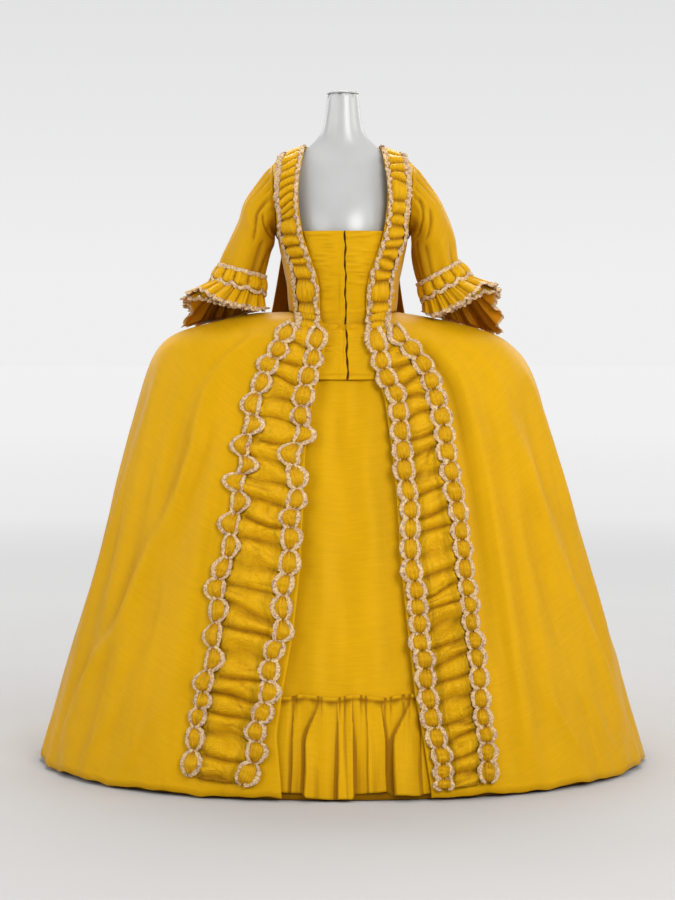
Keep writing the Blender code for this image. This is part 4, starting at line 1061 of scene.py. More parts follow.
def petticoat_flounce():
    """Gathered flounce: its folds lie over one another and open towards the hem, with painted shadows beside
    its fold edges.
    """
    panel = petticoat_front()
    x = np.linspace(-FLOUNCE_HALF, FLOUNCE_HALF, 300)
    down = np.linspace(0.0, 1.0, 44)
    level = down[:, None]
    slanted = np.interp(x, *np.array([(-FLOUNCE_HALF, 0.028)] + FLOUNCE_HEMS).T)
    hem = np.full(x.shape, FLOUNCE_HEMS[-1][1])
    for limit, height in reversed(FLOUNCE_HEMS):
        hem = np.where(x < limit, height, hem)
    hem = np.convolve(np.pad(hem, 3, mode="edge"), np.ones(7) / 7.0, mode="valid") * 0.75 + slanted * 0.25
    rise, slots, tucks = np.zeros((3, len(down), len(x)))
    for top_x, hem_x, way, stand, swell in FLOUNCE_EDGES:
        line = mix(top_x, hem_x, ease(down / 0.5))[:, None]
        past = (x[None] - line) * way
        cliff = 1.0 / (1.0 + np.exp(-np.clip(past / 0.0008, -30, 30)))
        tall = stand * (0.15 + 0.85 * ease(level / 0.9))
        rise = np.maximum(rise, tall * cliff * np.exp(-np.maximum(past, 0.0) / swell))
        # Painted shadow in the slot beside each fold edge.
        short = -past
        shade = np.exp(-np.maximum(short, 0.0) / (stand * (0.12 + 0.45 * level)))
        slots = np.maximum(slots, (short > 0) * shade * (0.35 + 22.0 * stand))
    for place in HEADING_TUCKS:
        tucks += TUCK_DEPTH * bell(x[None] - place, 0.003) * np.exp(-level / 0.16)
    heading = 0.0045 * bell(level - 0.02, 0.022) * (1 + 0.5 * np.sin(x[None] * 190.0))
    heading -= 0.0024 * bell(level - 0.055, 0.012)
    soft = ripple(x[None] + 0 * level, level * 0.1, "flounce", 17)
    lift = FLOUNCE_LIFT + rise - tucks * 0.6 + heading + soft * level
    height = mix(FLOUNCE_TOP - 0.004 + 0.003 * np.sin(x * 60.0), hem, level)
    middle = panel.grid[:, panel.columns // 2, 2][::-1]
    r = np.interp(height, middle, np.arange(panel.rows)[::-1])
    c = panel.column_at(r[::11], np.broadcast_to(x, r[::11].shape))
    c = np.stack([np.interp(down, down[::11], c[:, k]) for k in range(len(x))], axis=1)
    # Painted shade in the tucks below the heading.
    slots = slots * ease(level / 0.06) + 0.7 * np.minimum(tucks / TUCK_DEPTH, 1.0)
    return panel.at(r, c, np.maximum(lift, 0.002)), slots


# ---------------- bodice

def body_point(height, x):
    """Points of the bodice's front at a height, to the side seam."""
    rows = np.array(BODY)
    reach, depth = [np.interp(height, rows[:, 0], rows[:, column]) for column in (1, 2)]
    ratio = np.minimum(np.abs(x) / reach, 1.0)
    y = -depth * (1.0 - ratio ** BODY_SQUARE) ** (1.0 / BODY_SQUARE)
    return np.stack([x, y, np.full(np.shape(x), height)], axis=-1)


@functools.lru_cache(None)
def bodice_front(side):
    """Bodice front, from its strap's end over the shoulder to the waist."""
    rows, columns = BODICE_FRONT_GRID
    place = np.linspace(0.0, 3.0, columns)
    first, rest = np.minimum(place, 1.0), np.maximum(place - 1.0, 0.0) / 2.0
    strap = []
    for row in reversed(STRAP):
        inner, outer = np.array(row[0:3]), np.array(row[3:6])
        robing = min(ROBING_WIDTH / np.linalg.norm(outer - inner), 0.8)
        share = first * robing + rest * (1.0 - robing)
        strap.append(mix(inner, outer, share[:, None]))
    bulges = np.array([row[6] for row in reversed(STRAP)])
    rounding = through([[0.0], [1.0], [0.7], [0.0]], place)[:, 0]
    coarse = [*raised(np.array(strap), bulges[:, None] * rounding[None])]
    for height, reach, _, edge_x in reversed(BODY):
        robing_x = edge_x + ROBING_WIDTH * 0.9
        turn = math.asin((robing_x / reach) ** (BODY_SQUARE / 2.0))
        angle = mix(turn, math.radians(89.6), rest)
        side_x = reach * np.sin(angle) ** (2.0 / BODY_SQUARE)
        x = np.where(place <= 1.0, mix(edge_x, robing_x, first), side_x)
        coarse.append(body_point(height, x))
    ring = np.zeros(columns)
    edges = WAIST_EDGE, WAIST_EDGE + ROBING_WIDTH * 0.8
    robing_turn = turn_at(0.0, edges[1])
    turns = np.where(place <= 1.0, turn_at(ring, mix(*edges, first)), mix(robing_turn, 89.93, rest))
    coarse.append(skirt_point(ring, turns) + WAIST_LIFT)
    grid = finer(coarse, rows)
    across, height = grid[..., 0], grid[..., 2]
    drag = ripple(across, height, "bodice", 3) * ease((place - 0.9) / 0.3)[None]
    grid = raised(grid, np.maximum(drag, -0.0004) * ease((1.2 - height) / 0.1))
    if side == "left":
        grid = grid[:, ::-1] * np.array([-1.0, 1.0, 1.0])
    return Surface(grid)


def bodice_back_rows():
    """Fitted back: points run from the right side seam to the left."""
    neck = []
    for step in BACK_STEPS:
        x, y, z = NECK_BACK[abs(step)]
        neck.append((math.copysign(x, -step), y, z))
    rows = [neck]
    for edge_x, edge_y, edge_z, mid_y, mid_z, square in reversed(BODICE_BACK):
        line = []
        for step in BACK_STEPS:
            angle = math.radians(90.0 * abs(step))
            x = edge_x * math.sin(angle) ** (2.0 / square)
            y = mix(edge_y, mid_y, max(math.cos(angle), 0.0) ** (2.0 / square))
            line.append((math.copysign(x, -step), y, mix(mid_z, edge_z, step * step)))
        rows.append(line)
    waist = skirt_point(0.0, 180.0 + np.array(BACK_STEPS) * 89.7) + WAIST_LIFT
    return np.array(rows + [waist.tolist()])


def stomacher_rows(x_for, count):
    """Fine rows of the stomacher, each a line of points for its table's reach."""
    lines = iter(np.linspace(*CLOSING_LINE, len(STOMACHER) + len(STOMACHER_TAIL)))
    rows = [body_point(height, x_for(left, right, next(lines))) for height, left, right in STOMACHER]
    for ring, left, right in STOMACHER_TAIL:
        x = x_for(left, right, next(lines))
        ring = np.full(x.shape, ring)
        rows.append(skirt_point(ring, turn_at(ring, x)))
    return finer(rows, count)


def stomacher(side):
    """One half of the stomacher: cross wrinkles, a folded edge and a turned hem."""
    rows, columns = STOMACHER_GRID
    sign = sign_of(side)
    share = np.linspace(*((0.0, 1.0) if side == "right" else (1.0, 0.0)), columns)

    def x_for(left, right, line):
        return sign * mix(CLOSING_GAP / 2.0 + sign * line, right if side == "right" else left, share)

    grid = stomacher_rows(x_for, rows)
    x, z = np.abs(grid[..., 0]), grid[..., 2]
    near = np.exp(-share / 0.15)
    grid[..., 0] += (0.0011 * np.sin(z * 95.0) + 0.0007 * np.sin(z * 210.0 + 1.0 + sign)) * near
    chance = np.random.default_rng(7 if side == "right" else 8)
    wrinkles = np.zeros(z.shape)
    top, low = z[0].mean(), z[-1].mean()
    place = top - 0.006
    while place > low + 0.012:
        slant = chance.uniform(-0.05, 0.1)
        from_x, to_x = sorted(chance.uniform(0.0, 0.085, 2))
        span = ease((x - from_x + 0.01) / 0.02) * ease((max(to_x, from_x + 0.03) + 0.01 - x) / 0.02)
        wrinkles += chance.uniform(0.4, 1.0) * bell(z - place - slant * x, 0.0024) * span
        place -= chance.uniform(0.005, 0.011)
    closing = 0.001 * bell(x - 0.0045, 0.003)
    hem = 0.001 * bell(z - low - 0.006, 0.003) - 0.0008 * bell(z - low - 0.0115, 0.0012)
    relief = WRINKLE_HEIGHT * wrinkles + closing + hem + ripple(x, z, "stomacher", 9)
    return raised(grid, relief - STOMACHER_INSET)


def stomacher_underlap():
    half = np.linspace(-UNDERLAP_HALF, UNDERLAP_HALF, 7)
    return raised(stomacher_rows(lambda left, right, line: line + half, 60), -UNDERLAP_INSET)


# ---------------- sleeves

FORWARD = np.array([0.0, -1.0, 0.0])
BAND_PUFFS = {"left": 11, "right": 12}
# Fringe of the bands: how low and how far out, each with what its swags add, and its width.
BAND_FRINGES = {
    "top": (-0.0165, -0.0012, 0.005, 0.0012, 0.0095),
    "low": (0.0125, 0.0085, 0.0125, 0.0035, 0.0088),
}
FLOUNCE_COLUMNS = 264
FLOUNCE_ROWS = 26
# Flutes of the sleeve flounces: count, height and unevenness, and the lift over the elbow.
FLUTES = {"upper": (19, 0.005, 0.1, 0.018), "lower": (14, 0.0075, 0.1, 0.006)}


def sleeve_frame(side, lean):
    """Directions away from the body and down a sleeve, by its lean in degrees."""
    sign = sign_of(side)
    lean = math.radians(lean)
    outward = np.array([sign * math.cos(lean), 0.0, math.sin(lean)])
    return outward, np.array([sign * math.sin(lean), 0.0, -math.cos(lean)])


def sleeve_ring(side, ring, angle, reach=0.0, low=0.0):
    """Ring of a sleeve, from the underarm by the front, moved out and down."""
    x, y, z, wide, deep, lean = ring
    outward, down = sleeve_frame(side, lean)
    away = (-np.cos(angle) * (wide + reach))[..., None]
    forward = (np.sin(angle) * (deep + reach))[..., None]
    low = np.broadcast_to(low, np.shape(angle))[..., None]
    return np.array([sign_of(side) * x, y, z]) + outward * away + FORWARD * forward + down * low


def lumps(count, seed, amount):
    """Uneven thickness of hand-knotted fringe."""
    chance = np.random.default_rng(seed).uniform(-1.0, 1.0, count)
    return 1.0 + amount * chance


def armhole(side, count):
    """Even points round the armhole, from the underarm up the front."""
    front = seen_right(side, bodice_front(side).grid)[:, -1]
    back_edge = seen_right(side, refine(bodice_back_rows(), 61, 9))[12:31, 0]
    level = int(round((len(front) - 1) * 8 / 11))
    loop = np.concatenate([front[:level + 1][::-1], back_edge])
    loop = np.concatenate([loop, loop[:1]])
    far = lengths_along(loop)
    stops = np.linspace(0.0, far[-1], count, endpoint=False)
    return np.stack([np.interp(stops, far, loop[:, axis]) for axis in range(3)], axis=-1)


def sleeve(side):
    """Sleeve to the elbow: pleats at the armhole, drag folds and soft folds below, and its painted shade."""
    rows, columns = SLEEVE_GRID
    angle = around(columns)
    start = armhole(side, columns) + np.array([sign_of(side) * 2.5 * SEAM, 0.0, 0.0])
    coarse = [start] + [sleeve_ring(side, ring, angle) for ring in SLEEVES[side]]
    grid = finer(coarse, rows)
    down = np.linspace(0.0, len(coarse) - 1.0, rows)
    share = down[:, None] / down[-1]
    turn = angle[None]
    outside = 0.5 - 0.5 * np.cos(turn)
    front = np.clip(np.sin(turn), 0.0, 1.0)
    pleats = 0.0036 * np.cos(turn * 17.0 + 0.6 * np.sin(turn * 3.0)) * outside * np.exp(-share / 0.16)
    drag = 0.0056 * np.sin(share * 21.0 + turn * 3.2) * front * bell(share - 0.3, 0.2)
    bent = 1.6 * np.sin(turn * 2.0 + sign_of(side))
    elbow = 0.003 * np.cos(turn * 7.0 + bent) * ease((share - 0.35) / 0.5)
    pressed = np.zeros(turn.shape)
    for upper, lower, first, last, deep in SLEEVE_CREASES[side]:
        along = (share - first) / (last - first)
        place = mix(upper, lower, np.clip(along, 0.0, 1.0) ** 1.3)
        pressed = pressed - deep * between(along, 0.2, 0.3) * bell(turn - place, 0.1)
    inner = 0.0018 * np.cos(turn * 6.0 - share * 8.0) * (1.0 - outside) * ease(share / 0.2)
    relief = (pleats + 0.3 * drag + elbow + inner + pressed) * between(share, 0.05, 0.08)
    grid = raised(grid, np.maximum(relief, -0.005) * sign_of(side), True)
    # Painted shade: a base shade over the whole sleeve, darker on its inner side toward the body and in its
    # pressed creases.
    near_body = np.minimum(turn, 2.0 * math.pi - turn)
    shadow = (0.22 + 0.42 * ease((1.5 - near_body) / 0.6)) * np.ones(share.shape) - 70.0 * pressed
    return seen_right(side, grid), seen_right(side, shadow)


def puff_phase(side, angle):
    """Place within the band's puffs, which are a little uneven round the arm."""
    turn = angle + 0.07 * np.sin(angle * 3.0 + (0.5 if side == "left" else 2.0))
    return (turn * BAND_PUFFS[side] / (2.0 * math.pi)) % 1.0


def sleeve_band(side):
    """Ruched band at the elbow: a dome all round, drawn in between its puffs."""
    angle = around(BAND_PUFFS[side] * 20)[None]
    down = np.linspace(-1.0, 1.0, 15)[:, None]
    phase = puff_phase(side, angle)
    puff = arch(phase) ** 0.65
    dome = (1.0 - down ** 2) ** 0.5
    gathers = 0.0007 * np.cos(angle * 88.0 + 2.0 * np.sin(angle * 9.0)) * (0.35 + np.abs(down))
    out = mix(0.0024, 0.0085, ease((down + 1.0) / 2.0)) + (0.0105 * puff - 0.001) * dome + gathers
    low = mix(-0.0145, 0.015, (down + 1.0) / 2.0) + down * 0.0025 * puff
    angle = np.broadcast_to(angle, out.shape)
    # Painted shade in the gathers between the band's puffs.
    drawn = gather_shade(phase, down * 7.0 + np.sin(angle * 5.0), 0.1)
    return seen_right(side, sleeve_ring(side, SLEEVES[side][-1], angle, out, low)), seen_right(side, drawn)


def band_braid(side, kind):
    """Fly fringe round the sleeve's band: straight above, in swags below."""
    count = BAND_PUFFS[side] * 16
    angle = around(count)
    swag = arch(puff_phase(side, angle)) ** 0.8
    low, more_low, out, more_out, width = BAND_FRINGES[kind]
    low, out = low + more_low * swag, out + more_out * swag
    ring = SLEEVES[side][-1]
    path = sleeve_ring(side, ring, angle, out, low)
    normals = unit(path - sleeve_ring(side, ring, angle, -0.02, low))
    return tube(path, normals, width * lumps(count, 3, 0.14), 0.0036 * lumps(count, 4, 0.2), closed=True)


def flounce(side, kind):
    """Sleeve flounce, gathered at its heading and fluted at its edge, and the painted shade of its gathers.
    """
    gap, front_reach, back_reach, inner_share, flare, drift_x, drift_y = FLOUNCES[kind]
    flutes, tall, uneven, lift = FLUTES[kind]
    ring = SLEEVES[side][-1]
    outward, down = sleeve_frame(side, ring[-1])
    angle = around(FLOUNCE_COLUMNS)
    level = np.linspace(0.0, 1.0, FLOUNCE_ROWS)[:, None]
    outer, front = -np.cos(angle), np.sin(angle)
    reach = mix(front_reach, back_reach, ease((0.45 - front) / 1.1))
    length = reach * mix(inner_share, 1.0, (1.0 + outer) / 2.0) - lift * bell(angle - 2.25, 0.42)
    scallop = np.abs(np.sin(angle * 15.0 + 0.4 * np.sin(angle * 4.0)))
    away = unit(outward * outer[:, None] + FORWARD * front[:, None])
    hang = (down + np.array([0.0, 0.0, -1.0])) * 0.5
    turn = angle * flutes + 1.1 * np.sin(angle * 3.0 + (0.7 if side == "left" else 2.1))
    wave = np.sin(turn) + 0.35 * np.sin(turn * 2.3 + 1.0) + uneven * np.sin(angle * 5.0)
    gathers = np.sin(angle * 66.0 + 2.0 * np.sin(angle * 5.0))
    spread = flare * level ** 1.4 * (0.6 + 0.4 * length / back_reach) + tall * wave * level ** 0.9
    spread = spread + 0.002 * gathers * ease(level / 0.1) * (0.3 + 0.7 * bell(level - 0.22, 0.35))
    drift = np.array([sign_of(side) * drift_x, drift_y, 0.0]) * level[..., None] ** 1.5
    fall = (length * level + 0.0035 * scallop * level ** 6)[..., None]
    top = sleeve_ring(side, ring, angle, gap)[None]
    points = top + down * SEAM + hang * fall + away[None] * spread[..., None] + drift
    floor = skirt_height(points[..., 0], points[..., 1]) + FLOUNCE_CLEAR + FLOUNCE_FRINGE
    over = points[..., 2] - floor
    points[..., 2] = floor + 0.5 * (over + np.sqrt(over ** 2 + 0.004 ** 2))
    # Painted shade in the gathers below the heading.
    drawn = 0.9 * (0.5 - 0.5 * gathers) ** 2 * np.exp(-level / 0.34)
    return seen_right(side, points), seen_right(side, drawn)


def flounce_braid(grid):
    """Fly fringe along the edge of a flounce's grid."""
    edge = grid[-1]
    normals = normals_of(grid, True)[-1]
    count = len(edge)
    zigzag = 0.0016 * np.sign(np.sin(np.arange(count) * math.pi / 3.0))[:, None]
    path = edge + unit(edge - grid[-2]) * (0.003 + zigzag) + normals * 0.0004
    return tube(path, normals, 0.0085 * lumps(count, 12, 0.15), 0.003 * lumps(count, 13, 0.2), closed=True)


# ---------------- trimmings

MOST_LINKS = 40
# Chains: height of the pleats at their pinches, and how close to the skirt they may come.
PINCH_PLEATS = 0.0034
CHAIN_LEAST = 0.003
# Rolls: the waves that bend their creases, and the width and depth of their cross folds.
ROLL_WARPS = ((0.15, 1.7, 0.4, 1.5), (0.12, 2.9, 2.0, -3.0), (0.07, 4.7, 1.0, 4.0))
ROLL_FOLDS = ((0.06, 0.0045), (0.09, 0.0045), (0.045, 0.0032))
# Robings: their places' spacing, their ground in robing widths, the pitch of the creases over the
# shoulder, and the folds' height.
ROBING_STEP = 0.0022
ROBING_REACH = 1.4
ROBING_PITCH = 0.022
ROBING_HEIGHT = 0.013
# Heights of the robings' creases down the front, along their middles.
ROBING_CREASES = {
    "left": (1.345, 1.328, 1.309, 1.291, 1.271, 1.252, 1.233, 1.218, 1.205, 1.168, 1.144, 1.12, 1.105,
             1.072, 1.022, 0.976),
    "right": (1.345, 1.324, 1.305, 1.285, 1.243, 1.213, 1.191, 1.162, 1.14, 1.117, 1.094, 1.07, 1.022,
              0.996, 0.972),
}
# Fringe on a robing's outer and inner edge: how far past it, width, curl and seed.
ROBING_FRINGES = ((0.095, 0.0165, 0.03, 25), (-0.05, 0.0108, 0.024, 27))


@functools.lru_cache(None)
def chain_line(side, line):
    """Rows and columns of a chain's middle on the skirt front, pinch by pinch."""
    surface = skirt_front(side)
    middles = place_on(surface, LINKS[(side, line)])
    per_ring = (surface.rows - 1) / HEM_RING
    pinches = (middles[:-1] + middles[1:]) / 2.0
    first = middles[0] - (pinches[0] - middles[0])
    top_row = CHAIN_TOP_RING * per_ring
    if first[0] > top_row:
        x = ladder_x(side, line, np.array([CHAIN_TOP_RING]))
        first = np.array([top_row, float(surface.column_at(np.array([top_row]), x)[0])])
    last = 2.0 * middles[-1] - pinches[-1]
    last[0] = min(last[0], CHAIN_END_RING * per_ring)
    path = np.empty((2 * len(middles) + 1, 2))
    path[1::2] = middles
    path[0], path[-1] = first, last
    path[2:-1:2] = pinches
    steps = np.arange(len(middles) * LINK_STEPS + 1) * 2.0 / LINK_STEPS
    return through(path, steps)


def chain_frame(side, line):
    """A chain's places, the phase within each link and the direction across it."""
    surface = skirt_front(side)
    r, c = chain_line(side, line).T
    middle = surface.at(r, c)
    reach = LINK_STEPS
    before = np.linspace(1, 0, reach, endpoint=False)[:, None]
    after = np.linspace(0, 1, reach + 1)[1:, None]
    padded = np.concatenate([middle[:1] - (middle[reach:reach + 1] - middle[:1]) * before, middle,
                             middle[-1:] + (middle[-1:] - middle[-1 - reach:-reach]) * after])
    run = unit(padded[2 * reach:] - padded[:-2 * reach])
    across = unit(np.cross(surface.normal(r, c), run)) * -1.0
    phase = (np.arange(len(r)) % LINK_STEPS) / LINK_STEPS
    return surface, r, c, phase, across


def near_pinch(phase, reach):
    """1 at each pinch, fading into the links beside it."""
    return np.exp(-np.minimum(phase, 1.0 - phase) / reach)


def gather_shade(phase, wave, reach):
    """Painted shade in the gathers either side of each pinch: wave runs across them."""
    return near_pinch(phase, reach) * (0.25 + 0.75 * (0.5 + 0.5 * np.cos(wave)) ** 2)


def link_chance(side, line, low, high, kind):
    """One uneven amount for each link or pinch of a chain."""
    seed = 1000 * kind + 10 * SIDES.index(side) + LINES.index(line) + 1
    return np.random.default_rng(seed).uniform(low, high, MOST_LINKS)


def link_widths(side, line, count):
    """Half width towards the left and right of a chain, all along it."""
    settings = bpy.context.scene.robe_trim
    steps = np.arange(count)
    link = steps // LINK_STEPS
    share = (steps % LINK_STEPS) / LINK_STEPS
    wave = arch(share)
    result = []
    scallops, keep, (round_loop, square_loop) = CHAIN_SHAPES[(side, line)]
    for way, scallop in enumerate(scallops):
        full = settings.puff_half_width * link_chance(side, line, 0.84, 1.14, 1 + way)[link]
        pinch = settings.pinch_half_width * keep * link_chance(side, line, 0.5, 1.5, 3 + way)
        narrow = mix(pinch[link], pinch[link + 1], share)
        loop = wave ** link_chance(side, line, square_loop, round_loop, 5 + way)[link]
        straight = settings.puff_half_width * (0.7 + 0.12 * wave)
        result.append(mix(straight, mix(narrow, full, loop), scallop))
    return result[::-1] if side == "left" else result


def chain(side, line):
    """Pinched strip: wide and proud at each puff, pleated at each pinch."""
    settings = bpy.context.scene.robe_trim
    surface, r, c, phase, across = chain_frame(side, line)
    left, right = link_widths(side, line, len(r))
    v = np.linspace(-1.0, 1.0, 19)[None]
    offset = np.where(v < 0, v * left[:, None], v * right[:, None])
    rows, columns = surface.beside(r[:, None], c[:, None], across[:, None] * offset[..., None])
    phase = phase[:, None]
    wave = arch(phase)
    dome = np.sqrt(np.maximum(1.0 - v ** 2, 0.0))
    link = np.arange(len(r))[:, None] // LINK_STEPS
    start, tall, lean = [link_chance(side, line, *uneven)[link] for uneven in
                         ((0.0, 6.28, 7), (0.75, 1.15, 8), (-0.35, 0.35, 9))]
    pleats = PINCH_PLEATS * np.cos(v * 7.2 + start + lean * np.sin(6.28 * phase)) * near_pinch(phase, 0.26)
    across_fold = 0.0011 * np.cos(phase * 17.0 + v * (3.0 * lean + 1.0) + start) * wave
    crease = -0.0034 * bell(phase - 0.5 - lean - 0.25 * v * lean, 0.07) * (np.abs(lean) > 0.15)
    base = CHAIN_RISE * np.minimum(np.arange(len(r)) / 10.0, 1.0)[:, None]
    puff = settings.puff_lift * tall * wave ** 0.6 * dome ** 0.7
    lift = base + puff + (pleats + across_fold + crease) * dome
    # Painted shade: dark gathers at the pinches, and a darker rim along the braids.
    drawn = 1.7 * gather_shade(phase, v * 13.0 + 2.0 * start, 0.15) + 0.3 * v ** 8
    return surface.at(rows, columns, np.maximum(lift, CHAIN_LEAST)), drawn


def chain_braids(side, line):
    """Fly fringe along both edges of a chain: it turns over where the edges meet."""
    settings = bpy.context.scene.robe_trim
    surface, r, c, phase, across = chain_frame(side, line)
    count = len(r)
    wave, near = arch(phase), near_pinch(phase, 0.13)
    nearest = np.round(np.arange(count) / LINK_STEPS).astype(int)
    tubes = []
    for index, (way, width) in enumerate(zip((-1.0, 1.0), link_widths(side, line, count))):
        out = way * (width + 0.0052 * wave - 0.001)
        rows, columns = surface.beside(r, c, across * out[:, None])
        upper = link_chance(side, line, -1.0, 1.0, 10)[nearest] * way > 0
        lift = CHAIN_RISE + 0.0016 + 0.003 * wave + near * np.where(upper, 0.0046, 0.0008)
        size = settings.braid_width * mix(1.0, 0.74, near) * lumps(count, 5 + index, 0.14)
        deep = settings.braid_thickness * lumps(count, 7 + index, 0.15)
        tilt = way * (0.2 * wave + near * link_chance(side, line, -0.7, 0.7, 11 + index)[nearest])
        path = surface.at(rows, columns, lift)
        tubes.append(tube(path, surface.normal(rows, columns), size, deep, tilt=tilt))
    return tubes


def soft_folds(turn, chance, shallow, skew=(0.62, 1.5), crisp=0.62):
    """Height of ruched folds, counted by turn: round tops between uneven creases."""
    which = np.floor(turn).astype(int)
    share = turn - which
    count = int(which.max()) + 3
    depth, lean, tall = [chance.uniform(*limits, count) for limits in ((shallow, 1.0), skew, (0.7, 1.15))]
    pillow = arch(share ** lean[which]) ** crisp
    level = mix(tall[which], tall[which + 1], ease(share))
    return level * (1.0 - mix(depth[which], depth[which + 1], share) * (1.0 - pillow))


def rolls(side):
    """Ruched rolls between the chains: soft puffs with creases and cross folds."""
    settings = bpy.context.scene.robe_trim
    surface = skirt_front(side)
    inner, outer = chain_line(side, "inner"), chain_line(side, "outer")
    u = np.linspace(0.0, 1.0, 34)[None]
    r, c = [mix(inner[:, [axis]], outer[:, [axis]], u) for axis in (0, 1)]
    width = np.linalg.norm(surface.at(r[:, -1], c[:, -1]) - surface.at(r[:, 0], c[:, 0]), axis=1)[:, None]
    chance = np.random.default_rng(77 if side == "left" else 78)
    turn = np.arange(len(inner))[:, None] / LINK_STEPS
    warp = sum(size * np.sin(turn * pace + start + u * slide) for size, pace, start, slide in ROLL_WARPS)
    turn = np.maximum(turn + warp * arch(u), 0.0)
    count = int(turn.max()) + 3
    link = np.floor(turn).astype(int)
    phase = turn - link
    ends = ease((u * width - 0.008) / 0.026) * ease(((1.0 - u) * width - 0.008) / 0.026)
    height = settings.roll_height * soft_folds(turn, chance, 0.72, (0.95, 1.9), 0.85) * ends
    folds = np.zeros(height.shape)
    for reach, limit in ROLL_FOLDS:
        place = chance.uniform(0.15, 0.85, count)[link]
        lean = chance.uniform(-0.45, 0.45, count)[link]
        deep = np.maximum(chance.uniform(-limit, limit * 0.8, count), -limit * 0.8)[link]
        folds += deep * bell(u - place - lean * (phase - 0.5), reach) * arch(phase)
    part = chance.uniform(0.3, 0.7, count)[link]
    half = ease((u - chance.uniform(0.3, 0.7, count)[link]) / 0.2)
    half = np.where(chance.uniform(-1.0, 1.0, count)[link] > 0, half, 1.0 - half)
    folds -= 0.004 * half * bell(phase - part, 0.12) * (chance.uniform(0, 1, count)[link] > 0.35)
    gathers = 0.0016 * np.cos(phase * 18.8 + link * 1.7 + u * 3.0) * (1.0 - ends)
    grid = surface.at(r, c, np.maximum(0.0016 + height + folds * ends + gathers, 0.0012))
    # Painted shade in the gathers near the chains at each end of a roll.
    inwards = np.minimum(np.minimum(u, 1.0 - u) * width / 0.055, 0.5)
    drawn = 0.8 * gather_shade(inwards, phase * 25.0 + link * 1.7 + u * 3.0, 0.15)
    return seen_right(side, grid), seen_right(side, drawn)


@functools.lru_cache(None)
def robing_strip(side):
    """Ground of a robing: the bodice's edge, then the skirt's top."""
    body = bodice_front(side)
    unit_columns = (body.columns - 1) / 3.0
    shares = np.linspace(0.0, ROBING_REACH, 15)
    columns = shares * unit_columns if side == "right" else body.columns - 1 - shares[::-1] * unit_columns
    strip = body.at(np.arange(body.rows)[:, None] * np.ones(15), np.ones((body.rows, 1)) * columns)
    rings = np.linspace(0.25, 1.4, 6)[:, None] * np.ones(15)
    turns = turn_at(rings, np.ones((6, 1)) * strip[-1, :, 0])
    low = skirt_point(rings, turns) + skirt_normal(rings, turns) * 0.0012
    return Surface(np.concatenate([strip, low]))


class Robing:
    """Even places down a robing, with its creases and the shares across it."""

    def __init__(self, side):
        self.side = side
        self.surface = robing_strip(side)
        samples = np.linspace(0.3, self.surface.rows - 1.05, 500)
        middle = self.surface.at(samples, np.full(500, self.column(0.5, 1.0)))
        far = lengths_along(middle)
        self.stops = np.arange(0.0, far[-1], ROBING_STEP)
        top = int(np.argmax(middle[:, 2]))
        marks = np.interp(-np.array(ROBING_CREASES[side]), -middle[top:, 2], far[top:])
        shoulder = np.arange(marks[0] % ROBING_PITCH, marks[0] - 0.5 * ROBING_PITCH, ROBING_PITCH)
        self.creases = np.concatenate([[-0.01], shoulder, marks, [far[-1] + 0.02]])
        height = np.interp(self.stops, far, middle[:, 2])
        self.upper = ease((height - 1.19) / 0.03)
        self.widen = 1.0 + 0.2 * ease((1.1 - height) / 0.08)
        self.rows = np.interp(self.stops, far, samples)
        drawn = [(1.0 - arch(self.turn(self.stops, self.upper, u) % 1.0) ** 0.6) * (1.0 - 0.65 * self.upper)
                 for u in (0.0, 1.0)]
        self.inner, self.outer = 0.1 + 0.12 * drawn[0], 0.835 - 0.06 * drawn[1]

    def column(self, share, widen):
        """Column of the ground at a share across the robing."""
        part = share * widen / ROBING_REACH
        return (part if self.side == "right" else 1.0 - part) * (self.surface.columns - 1)

    def turn(self, stops, upper, u):
        """Creases passed at each place; the upper left ones slant over the chest."""
        if self.side == "left":
            shift = 0.0125 * (1.0 - 2.0 * u) * upper + 0.0015 * np.sin(stops * 60.0 + u * 4.0)
        else:
            shift = 0.004 * np.sin(stops * 38.0) * (1.0 - 2.0 * u) + 0.002 * np.sin(stops * 70.0 + u * 5.0)
        return np.interp(stops + shift, self.creases, np.arange(len(self.creases)))


def robing(side):
    """Ruched robing: slanted folds over the left chest, round puffs below."""
    line = Robing(side)
    v = np.linspace(0.0, 1.0, 25)[None]
    u = mix(line.inner[:, None], line.outer[:, None], v)
    stops = line.stops[:, None]
    turn = line.turn(stops, line.upper[:, None], u)
    chance = np.random.default_rng(15 if side == "left" else 16)
    fold = soft_folds(turn, chance, 0.85)
    edge = between(v, 0.2, 0.2)
    start = chance.uniform(0.0, 6.28, 64)[np.floor(turn).astype(int)]
    near = 1.0 - 0.55 * arch(turn % 1.0)
    wave = v * 36.0 + start + 0.8 * np.sin(turn * 5.0)
    gathers = 0.0007 * np.cos(wave) * near * (0.4 + 0.6 * edge)
    height = 0.003 + ROBING_HEIGHT * fold * (0.3 + 0.7 * edge) + gathers
    ends = ease(stops / 0.006) * ease((stops[-1] - stops) / 0.006)
    r = np.broadcast_to(line.rows[:, None], u.shape)
    place = line.column(u, line.widen[:, None])
    crown = ease((line.surface.at(r, place)[..., 2] - 1.325) / 0.02)
    height = height * mix(0.3, 1.0, ends) * (1.0 - 0.5 * crown)
    # Painted shade: dark gathers at each crease, and darker edges along the fringe.
    drawn = gather_shade(turn % 1.0, wave + math.pi, 0.13) + 0.6 * np.abs(2.0 * v - 1.0) ** 8
    return seen_right(side, line.surface.at(r, place, np.maximum(height, 0.0012))), seen_right(side, drawn)


